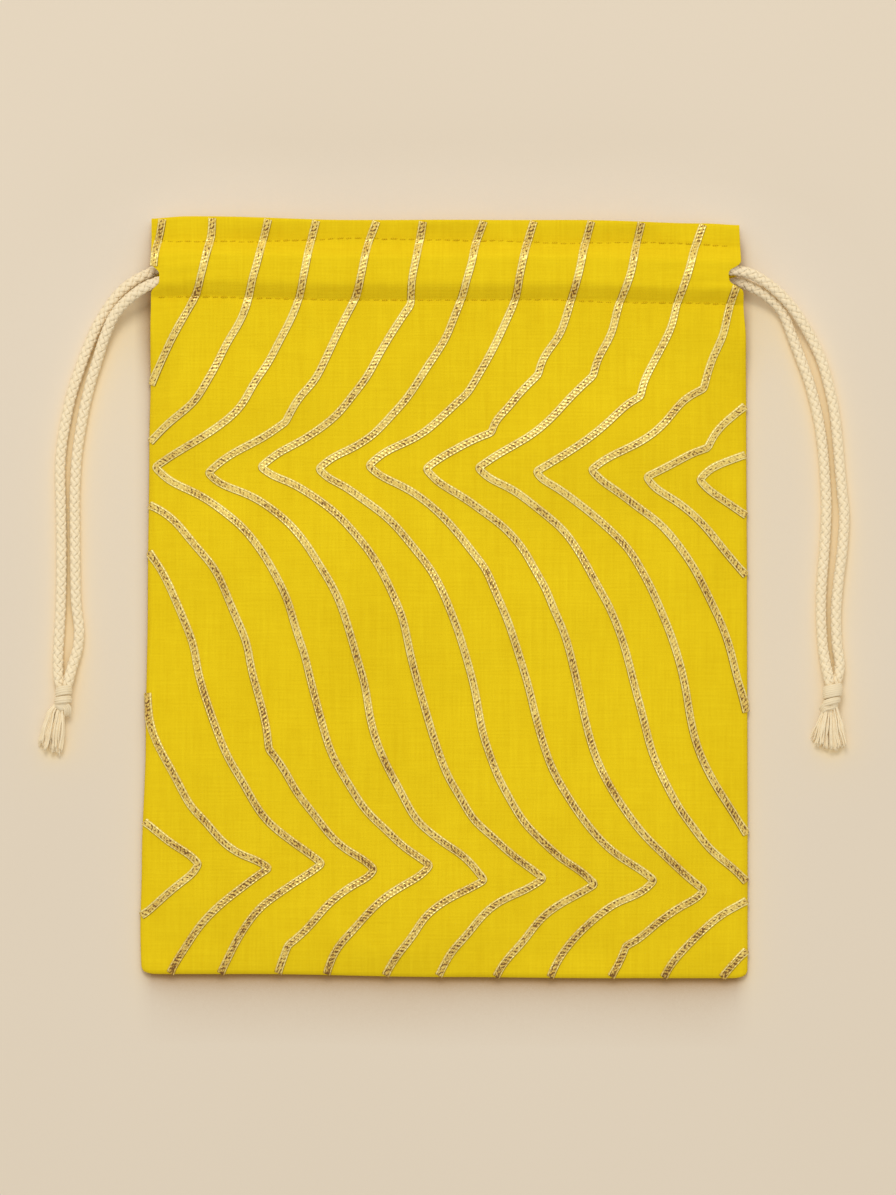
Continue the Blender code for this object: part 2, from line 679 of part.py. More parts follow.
def add_band(name, front, points, kept, material, collection):
    """One gold band: a strip over the kept points, mitred at the cusps, with its thickness."""
    half = BAND_WIDTH / 2
    lefts, rights = [], []
    for place, index in enumerate(kept):
        here = points[index]
        ahead = points[kept[place + 1]] - here if place + 1 < len(kept) else None
        behind = here - points[kept[place - 1]] if place > 0 else None
        directions = [d.normalized() for d in (behind, ahead) if d is not None]
        sides = [Vector((-d.y, d.x, 0.0)) for d in directions]
        side = sum(sides, Vector()).normalized()
        mitre = half / max(0.5, side.dot(sides[0]))
        run = directions[0]
        over_channel = grid_shares(front, here.x, here.y)[1] > 0.98
        shear = -side.y * mitre / run.y if over_channel else 0.0
        lefts.append(on_cloth(front, here + side * mitre + run * shear))
        rights.append(on_cloth(front, here - side * mitre - run * shear))
    rows = [(right, left) for left, right in zip(lefts, rights)]
    strip = add_grid(name, rows, material, collection)
    strip.data.update()
    upward = sum(polygon.normal.z for polygon in strip.data.polygons) > 0
    if upward != front:
        strip.data.flip_normals()
    add_solidify(strip, BAND_THICKNESS, 1.0)
    return strip


def build_bands(front, material, collection):
    """All gold bands of one cloth, each cut where it leaves the cloth."""
    side_name = "front" if front else "back"
    count = 0
    for left_cusp, right_cusp in BAND_CUSPS:
        points, cusps = band_path(front, left_cusp, right_cusp)
        flags = [inside(front, point) for point in points]
        start = None
        for index in range(len(points) + 1):
            here = index < len(points) and flags[index]
            if here and start is None:
                start = index
            if not here and start is not None:
                if (index - 1 - start) * BAND_STEP >= SHORTEST_BAND:
                    count += 1
                    kept = band_stations(front, points, cusps, start, index - 1)
                    add_band(f"{side_name}_wave_{count:02d}", front, points, kept, material, collection)
                start = None
    return count


def build_pouch():
    """Every piece of the pouch."""
    for item in list(bpy.data.objects):
        bpy.data.objects.remove(item, do_unlink=True)
    collection = bpy.data.collections.new("drawstring_pouch")
    bpy.context.scene.collection.children.link(collection)
    cotton = make_material("yellow_cotton", YELLOW, 0.85, 0.0)
    gold = make_material("gold_thread", GOLD, 0.45, 0.6)
    cream = make_material("cream_cord", CREAM, 0.9, 0.0)
    build_cloth("front_panel", True, cotton, collection)
    build_cloth("back_panel", False, cotton, collection)
    build_cord_run("left_cord_run", -1, cream, collection)
    build_cord_run("right_cord_run", 1, cream, collection)
    build_tail("left_outer_tail", -1, False, LEFT_OUTER_ROUTE, cream, collection)
    build_tail("left_inner_tail", -1, True, LEFT_INNER_ROUTE, cream, collection)
    build_tail("right_outer_tail", 1, True, RIGHT_OUTER_ROUTE, cream, collection)
    build_tail("right_inner_tail", 1, False, RIGHT_INNER_ROUTE, cream, collection)
    sides = (("left", LEFT_KNOT_TOP, LEFT_KNOT_LENGTH, LEFT_TASSEL_TURN, LEFT_TASSEL_LENGTH, LEFT_TASSEL_SPREAD),
             ("right", RIGHT_KNOT_TOP, RIGHT_KNOT_LENGTH, RIGHT_TASSEL_TURN, RIGHT_TASSEL_LENGTH,
              RIGHT_TASSEL_SPREAD))
    for side, top, length, turn, tassel_length, spread in sides:
        build_knot(f"{side}_knot", top, length, cream, collection)
        start = Vector((top[0] * MM, top[1] * MM - length - CLEARANCE, 0.0))
        build_tassel(f"{side}_tassel", start, turn, tassel_length, spread, cream, collection)
    build_bands(True, gold, collection)
    build_bands(False, gold, collection)


build_pouch()
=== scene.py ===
"""Looks of a flat drawstring pouch: yellow cotton, gold thread lines and knotted cream cords.

Lengths are in metres, apart from the tables, which are in millimetres, and FRONT_LINES, which is in the
photograph's pixels. A side is -1 at the left and 1 at the right.
"""
import math

import bpy
import numpy as np
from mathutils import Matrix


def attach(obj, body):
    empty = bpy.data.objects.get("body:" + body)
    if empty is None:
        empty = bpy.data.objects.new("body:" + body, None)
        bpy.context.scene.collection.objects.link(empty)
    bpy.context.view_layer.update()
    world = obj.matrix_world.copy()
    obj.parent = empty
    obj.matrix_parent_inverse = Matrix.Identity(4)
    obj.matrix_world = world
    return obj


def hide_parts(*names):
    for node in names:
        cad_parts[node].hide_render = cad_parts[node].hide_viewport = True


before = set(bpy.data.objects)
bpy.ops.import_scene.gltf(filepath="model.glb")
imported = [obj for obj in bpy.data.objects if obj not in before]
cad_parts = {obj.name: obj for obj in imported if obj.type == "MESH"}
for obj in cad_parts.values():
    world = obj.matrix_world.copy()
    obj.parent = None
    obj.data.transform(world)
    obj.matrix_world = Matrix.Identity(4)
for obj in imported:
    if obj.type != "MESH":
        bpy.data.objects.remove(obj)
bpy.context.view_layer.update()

MM = 0.001

# Driving dimensions of the pouch
BAG_WIDTH = 202.0 * MM
BAG_LENGTH = 254.0 * MM
CLOTH = 0.5 * MM
HEADER = 7.2 * MM
CHANNEL = 19.5 * MM
HEM = 3.0 * MM
CORNER_RADIUS = 3.0 * MM
FACING_INSET = 11.0 * MM
CLEARANCE = 0.3 * MM

# How the pouch lies
SEAM_RISE = 0.8 * MM
BODY_RISE = 5.6 * MM
MOUTH_GAP = 4.4 * MM
SIDE_GAP = 0.6 * MM
SIDE_ROLL = 32.0 * MM
BOTTOM_ROLL = 40.0 * MM
MOUTH_ROLL = 70.0 * MM
SLIT_RAMP = 32.0 * MM
RIM_RADIUS = 1.7 * MM
RIM_DROP = 1.5 * MM

# Cords
CORD = 3.9 * MM
LOW_LANE = 5.7 * MM
LANE_STEP = 5.7 * MM
SLIT_PULL = {-1: 2.9 * MM, 1: 4.5 * MM}
SLIT_PLACE = {-1: 6.7 * MM, 1: 9.2 * MM}
SLIT_REACH = 3.5 * MM
BACK_PULL_SHARE = 0.3
RUN_END_INSET = 6.4 * MM
BRAID_LAY = 11.6 * MM
STRAND_HALF_WIDTH = 0.93 * MM
STRAND_HALF_THICKNESS = 0.42 * MM
BRAID_WEAVE = 0.24 * MM
CORE_RADIUS = 1.42 * MM
PINCH_LENGTH = 6.0 * MM

# Gold lines
BAND_WIDTH = 2.72 * MM
BAND_RELIEF = 0.09 * MM
BAND_MESH = 1.35 * MM
BAND_SUNK = 0.12 * MM
BAND_BEND_SHARE = 0.85
LIMB_SOFTNESS = 3.6 * MM
CUSP_SOFTNESS = 0.65 * MM
FRONT_STEP = 0.34 * MM
BACK_STEP = 0.6 * MM
FRONT_INSET = 0.35 * MM
BACK_INSET = 1.7 * MM
SHORTEST_BACK_LINE = 5.5 * MM

# Stitches
STITCH_PITCH = 3.0 * MM
STITCH_THREAD = 0.24 * MM
STITCH_SHARE = 0.93
STITCH_ROW_INSET = 1.2 * MM

# Unevenness of the cloth: its swells are calmer near the rims and under the channel's hem
BROAD_SWELL = 1.0 * MM
FINE_SWELL = 0.12 * MM
BACK_SWELL_SHARE = 0.08
BACK_PUCKER_SHARE = 0.25
RIM_CALM = 9.0 * MM
HEM_CALM_START = 1.5 * MM
HEM_CALM_LENGTH = 20.0 * MM
HEM_SWELL_SHARE = 0.12
PUCKER_LENGTH = 6.4 * MM
PUCKER_HEIGHT = 0.22 * MM
PUCKER_REACH = 5.5 * MM
PUCKER_RIM_CALM = 4.0 * MM
GROOVE_REACH = 0.9 * MM
UPPER_GROOVE = 0.26 * MM
LOWER_GROOVE = 0.30 * MM
HEADER_CALM = 14.0 * MM

# The fold at the mouth, and the texture lengths of its rows and of the facing's rows
FOLD_ANGLES = (35.0, 70.0, 110.0, 145.0, 180.0)
FOLD_TEXTURE_STEP = 0.3 * MM
FACING_TEXTURE_STEP = 1.6 * MM

# Outline: how far each edge lies outside its nominal line, by the fraction along it
LEFT_WANDER = [(0.0, 0.8), (0.06, 1.1), (0.15, 0.6), (0.31, -0.7), (0.5, -1.4), (0.7, -1.9), (0.8, -2.4),
               (1.0, -2.8)]
RIGHT_WANDER = [(0.0, 1.1), (0.2, 1.1), (0.5, 0.9), (0.76, 0.6), (0.84, 0.3), (0.89, -0.4), (0.95, -1.4),
                (1.0, -1.9)]
SIDE_WANDER = {-1: LEFT_WANDER, 1: RIGHT_WANDER}
TOP_WANDER = [(0.0, 0.4), (0.06, 1.1), (0.34, -0.3), (0.7, -0.3), (0.94, -1.3), (1.0, -1.8)]
BOTTOM_WANDER = [(0.0, -0.4), (0.17, -0.4), (0.5, 0.6), (0.77, 1.0), (1.0, 1.0)]

# Rise of a channel above its lower stitches: millimetres across, share of the full rise
RAMP = [(0.0, 0.0), (0.4, 0.055), (1.0, 0.165), (2.0, 0.375), (3.0, 0.585), (3.8, 0.745), (4.4, 0.850),
        (5.0, 0.925), (5.6, 0.970), (6.4, 0.995), (7.0, 1.0)]

# The two stitch rows, as x and y
UPPER_ROW = [(-97.5, 120.3), (-90.5, 119.4), (-63.2, 119.2), (-31.6, 120.6), (-2.0, 120.0), (16.8, 119.7),
             (39.0, 118.7), (68.6, 119.2), (97.9, 118.0)]
LOWER_ROW = [(-97.4, 101.3), (-90.5, 101.1), (-35.0, 99.9), (-1.3, 99.8), (35.7, 100.1), (54.5, 99.1),
             (100.6, 98.6)]

# Routes of the cord tails, from the slit to the knot
LEFT_OUTER_ROUTE = [(-98.4, 109.4, 5.6), (-103.6, 106.8, 6.0), (-109.4, 102.2, 4.6), (-115.2, 94.3, 2.8),
                    (-119.3, 85.9, 2.1), (-122.7, 77.0, 2.05), (-125.3, 69.0, 2.05), (-127.3, 60.1, 2.05),
                    (-128.8, 50.7, 2.05), (-129.3, 42.3, 2.05), (-129.1, 32.9, 2.05), (-128.9, 20.4, 2.05),
                    (-128.9, 7.3, 2.05), (-129.2, -5.5, 2.05), (-129.9, -18.3, 2.1), (-129.9, -25.0, 2.4),
                    (-129.3, -29.0, 3.0), (-128.8, -32.5, 3.3)]
LEFT_INNER_ROUTE = [(-100.2, 104.4, 8.7), (-106.3, 100.1, 6.9), (-110.8, 95.1, 5.4), (-114.1, 88.0, 4.0),
                    (-116.6, 80.3, 2.9), (-118.9, 72.9, 2.3), (-121.0, 64.5, 2.05), (-122.5, 56.1, 2.05),
                    (-123.7, 47.7, 2.05), (-124.2, 39.6, 2.05), (-124.4, 32.9, 2.05), (-124.3, 20.4, 2.05),
                    (-124.2, 7.3, 2.05), (-123.9, -2.1, 2.05), (-122.9, -10.5, 2.05), (-123.4, -16.9, 2.1),
                    (-125.0, -22.5, 2.7), (-125.9, -26.0, 3.6), (-126.6, -29.0, 4.2), (-127.0, -32.5, 4.2)]
RIGHT_OUTER_ROUTE = [(100.6, 109.5, 9.0), (105.6, 107.6, 7.9), (111.3, 103.6, 6.5), (116.4, 98.5, 5.2),
                     (120.8, 92.4, 3.8), (124.6, 85.7, 2.6), (127.5, 79.0, 2.15), (129.6, 71.2, 2.05),
                     (131.3, 63.5, 2.05), (132.4, 54.4, 2.05), (133.2, 45.0, 2.05), (134.2, 34.5, 2.05),
                     (134.8, 28.0, 2.05), (134.2, 17.1, 2.05), (132.7, 4.3, 2.05), (132.0, -5.5, 2.05),
                     (132.3, -15.2, 2.05), (133.2, -21.5, 2.2), (132.9, -25.5, 2.6), (132.0, -28.6, 3.2),
                     (131.4, -32.0, 3.4)]
RIGHT_INNER_ROUTE = [(98.8, 106.1, 5.6), (103.6, 104.4, 5.2), (107.2, 102.6, 4.5), (111.1, 99.5, 3.35),
                     (114.2, 95.8, 2.55), (116.8, 89.4, 2.15), (119.6, 82.0, 2.05), (122.4, 74.6, 2.05),
                     (124.6, 66.8, 2.05), (126.3, 59.1, 2.05), (127.5, 50.7, 2.05), (128.2, 42.3, 2.05),
                     (128.8, 29.8, 2.05), (128.2, 17.1, 2.05), (127.2, 4.3, 2.05), (127.0, -5.5, 2.05),
                     (127.5, -15.2, 2.1), (128.4, -21.5, 2.7), (129.2, -25.5, 3.7), (129.8, -28.6, 4.3),
                     (130.2, -32.0, 4.2)]

# Tails of each side: node, whether it leaves the front channel, route
TAILS = {
    -1: (("left_outer_tail", False, LEFT_OUTER_ROUTE), ("left_inner_tail", True, LEFT_INNER_ROUTE)),
    1: (("right_outer_tail", True, RIGHT_OUTER_ROUTE), ("right_inner_tail", False, RIGHT_INNER_ROUTE))}

# Knots, in millimetres: bundles of turns as centre, half width and height, lean and slant, turns, yarn
# radius and gap; points of the lobe tucked in below; points of the solid heart
KNOT_WRAPS = {
    -1: [((-127.95, -31.55, 3.75), (2.42, 2.45), (0.45, 0.5), 4, 0.53, 0.70),
         ((-128.15, -34.5, 3.70), (2.50, 2.50), (0.30, 0.3), 3, 0.50, 0.68)],
    1: [((130.8, -31.5, 3.80), (2.90, 2.60), (0.60, 0.3), 6, 0.56, 0.62),
        ((130.4, -35.0, 3.60), (2.70, 2.45), (0.80, 0.3), 3, 0.50, 0.60)]}
KNOT_LOBES = {
    -1: [(-128.9, -36.0, 4.4), (-127.5, -36.3, 4.9), (-126.7, -37.3, 4.6), (-126.7, -38.5, 3.8),
         (-126.9, -39.5, 2.8), (-127.2, -40.2, 1.7)],
    1: [(131.6, -35.4, 4.4), (130.0, -36.3, 5.0), (128.2, -36.7, 4.7), (127.3, -37.9, 3.3),
        (128.3, -38.8, 1.9), (130.0, -38.2, 1.4)]}
KNOT_HEARTS = {
    -1: [(-128.0, -31.0, 3.5), (-128.1, -33.0, 3.6), (-128.6, -35.6, 3.4), (-129.3, -37.6, 3.0)],
    1: [(130.8, -30.6, 3.5), (130.8, -32.5, 3.6), (130.6, -35.0, 3.4), (130.2, -37.4, 3.0)]}
WRAP_STATIONS = 64
WRAP_SQUEEZE = 0.10
LOBE_YARNS = 4
LOBE_YARN_GAP = 0.62
LOBE_YARN = (0.46 * MM, 0.60 * MM)
HEART = (2.3 * MM, 2.2 * MM)

# Tassels, in millimetres: root, neck, half width of the neck, ends in plan; how far the bundles part; seed
TASSELS = {
    -1: ((-128.9, -35.4, 3.4), (-130.7, -38.2, 3.2), 2.5,
         ((-136.4, -48.2), (-133.4, -50.6), (-129.2, -52.2)), 0.16, 11),
    1: ((130.3, -34.8, 3.4), (130.4, -37.2, 3.2), 2.2,
        ((124.5, -48.2), (130.9, -51.2), (135.6, -48.8)), 0.05, 12)}
LOCKS = 16
YARNS_IN_A_LOCK = 8
TIP_HEIGHTS = (0.5, 1.7, 0.9, 2.3)
LOWEST_TIP = 0.45
ROOT_WIDTH = 2.2
YARN_JITTER = 0.34

# Gold lines of the back: upper and middle limb from the left cusp, lower limb from the right cusp
UPPER_LIMB = [(55.2, 86.1), (51.1, 67.3), (47.4, 53.8), (39.4, 36.3), (28.9, 20.9), (19.5, 12.8),
              (10.1, 6.7), (0, 0)]
MIDDLE_LIMB = [(0, 0), (14.8, -7.4), (26.9, -16.8), (37.7, -30.3), (45.8, -45.4), (51.1, -63.9),
               (57.2, -88.1), (64.6, -106.0), (73.3, -121.1), (84.1, -131.2), (94.5, -137.3)]
LOWER_LIMB = [(0, 0), (-9.7, -6.7), (-19.8, -13.4), (-28.6, -24.2), (-32.6, -30.9), (-35.3, -38.7)]
BAND_CUSPS = [((-177.1, 47.0), (-82.6, -92.3)), ((-148.0, 46.0), (-58.9, -90.9)),
              ((-134.3, 45.0), (-41.0, -89.4)), ((-115.4, 44.0), (-23.2, -93.6)),
              ((-96.2, 43.0), (-4.7, -89.9)), ((-79.2, 41.9), (13.6, -95.0)),
              ((-61.6, 44.0), (33.5, -94.3)), ((-42.1, 42.4), (50.8, -96.5)),
              ((-25.2, 44.3), (70.6, -95.0)), ((-6.1, 43.3), (87.5, -98.9)), ((11.4, 43.3), (105.6, -98.0)),
              ((30.9, 42.4), (123.0, -103.0)), ((49.5, 42.6), (137.4, -103.0)),
              ((68.0, 39.9), (153.0, -111.1)), ((85.8, 38.9), (175.0, -112.0))]

# Section of a gold line: share of its half width, height above the cloth
BAND_SECTION = [(0.0, 0.44), (0.32, 0.43), (0.56, 0.33), (0.70, 0.47), (0.83, 0.44), (1.0, 0.08)]
MIRRORED_SECTION = [(-share, height) for share, height in reversed(BAND_SECTION[1:])] + BAND_SECTION
STRIP_SHARES, STRIP_HEIGHTS = np.array(MIRRORED_SECTION).T

# Creases of the front: start, end, height, width
FRONT_CREASES = [((-47.5, 99.0), (-39.5, 88.0), 0.45, 2.6), ((-68.0, 99.0), (-62.0, 86.0), 0.30, 3.0),
                 ((-92.0, 98.0), (-88.0, 80.0), 0.40, 3.0), ((-20.0, 99.0), (-14.0, 90.0), 0.25, 2.4),
                 ((12.0, 99.0), (9.0, 88.0), 0.28, 2.6), ((36.0, 99.0), (33.0, 84.0), 0.35, 2.8),
                 ((58.0, 98.0), (66.0, 86.0), 0.30, 2.8), ((84.0, 98.0), (80.0, 82.0), 0.35, 3.0),
                 ((93.0, 97.0), (95.0, 78.0), 0.45, 3.0), ((-24.0, 118.0), (-19.0, 101.0), 0.35, 1.9),
                 ((-80.0, 112.0), (-97.0, 109.5), 0.50, 2.2), ((80.0, 108.5), (97.0, 108.5), 0.50, 2.2),
                 ((-86.0, 104.0), (-97.0, 106.0), 0.35, 1.8), ((86.0, 102.5), (96.0, 105.0), 0.35, 1.8)]

# Photograph and camera
PIXEL = 0.3364 * MM
CENTRE_PIXEL = (444.0, 597.7)
PHOTO_HEIGHT = 1195
CAMERA_PLACE = (1.35 * MM, 0.07 * MM, 2.2)
SHARP_HEIGHT = 5.0 * MM

# Light
WINDOW_PLACE = (-0.15, 1.3, 1.68)
WINDOW_SIZE = 0.7
WINDOW_POWER = 16.5
WINDOW_COLOUR = (1.0, 0.995, 0.985)
SKY_COLOUR = (1.0, 0.99, 0.975, 1.0)
SKY_STRENGTH = 0.77
FLOOR_REACH = 3.0

# Colours
COTTON_DEEP = (0.710, 0.484, 0.004)
COTTON_LIGHT = (0.846, 0.616, 0.009)
# Painted shade between the cotton's threads
COTTON_GAP_PAINTED_SHADE = (0.62, 0.395, 0.001)
COTTON_SHEEN = (1.0, 0.86, 0.15)
# Painted shade in the grooves of the sewing thread's twist
THREAD_GROOVE_PAINTED_SHADE = (0.52, 0.325, 0.002)
THREAD_LIGHT = (0.79, 0.550, 0.006)
PLAIT_DEEP = (0.66, 0.400, 0.052)
PLAIT_LIGHT = (1.0, 0.775, 0.205)
# Painted shade in the gaps between the plaits
PLAIT_GAP_PAINTED_SHADE = (0.190, 0.078, 0.007)
RAIL_DEEP = (0.800, 0.535, 0.088)
RAIL_LIGHT = (1.0, 0.870, 0.335)
# Painted shade in the groove beside each rail
RAIL_GROOVE_PAINTED_SHADE = (0.330, 0.160, 0.012)
# Painted shadow along a gold line's edge that faces away from the window
RAIL_PAINTED_SHADOW = (0.240, 0.120, 0.006)
CREAM_DEEP = (0.850, 0.690, 0.435)
CREAM_LIGHT = (0.950, 0.810, 0.560)
CREAM_WARM = (0.880, 0.725, 0.465)
CREAM_SHEEN = (1.0, 0.95, 0.84)
FLOOR_DEEP = (0.690, 0.590, 0.455)
FLOOR_LIGHT = (0.740, 0.640, 0.505)
# Painted light on the floor on the window's side of the pouch
FLOOR_PAINTED_WINDOW_LIGHT = (0.880, 0.785, 0.650)
# Painted shadow on the floor under the pouch and under the cords
FLOOR_PAINTED_POUCH_SHADOW = (0.380, 0.205, 0.055)
FLOOR_PAINTED_CORD_SHADOW = (0.97, 0.735, 0.345)

# Pitch of the cotton's weave and of the sewing thread's twist
WEAVE_PITCH = 0.46 * MM
THREAD_TWIST = 0.6 * MM

# Y at which the gold's painted light rises, and then falls: painted light on the upper half, painted
# highlight on the channel's crest, painted shade on its lower slope, at the mouth and at the bottom hem
GOLD_UPPER_PAINTED_LIGHT = (-0.05, 0.08)
GOLD_CREST_PAINTED_HIGHLIGHT = (0.104, 0.110, 0.116, 0.120)
GOLD_SLOPE_PAINTED_SHADE = (0.0995, 0.102, 0.106, 0.109)
GOLD_MOUTH_PAINTED_SHADE = (0.1185, 0.1205)
GOLD_HEM_PAINTED_SHADE = (-0.1275, -0.1190)

# X between which the floor's painted shadow changes from that under the pouch to that under the cords
FLOOR_BESIDE = (0.0985, 0.1045)

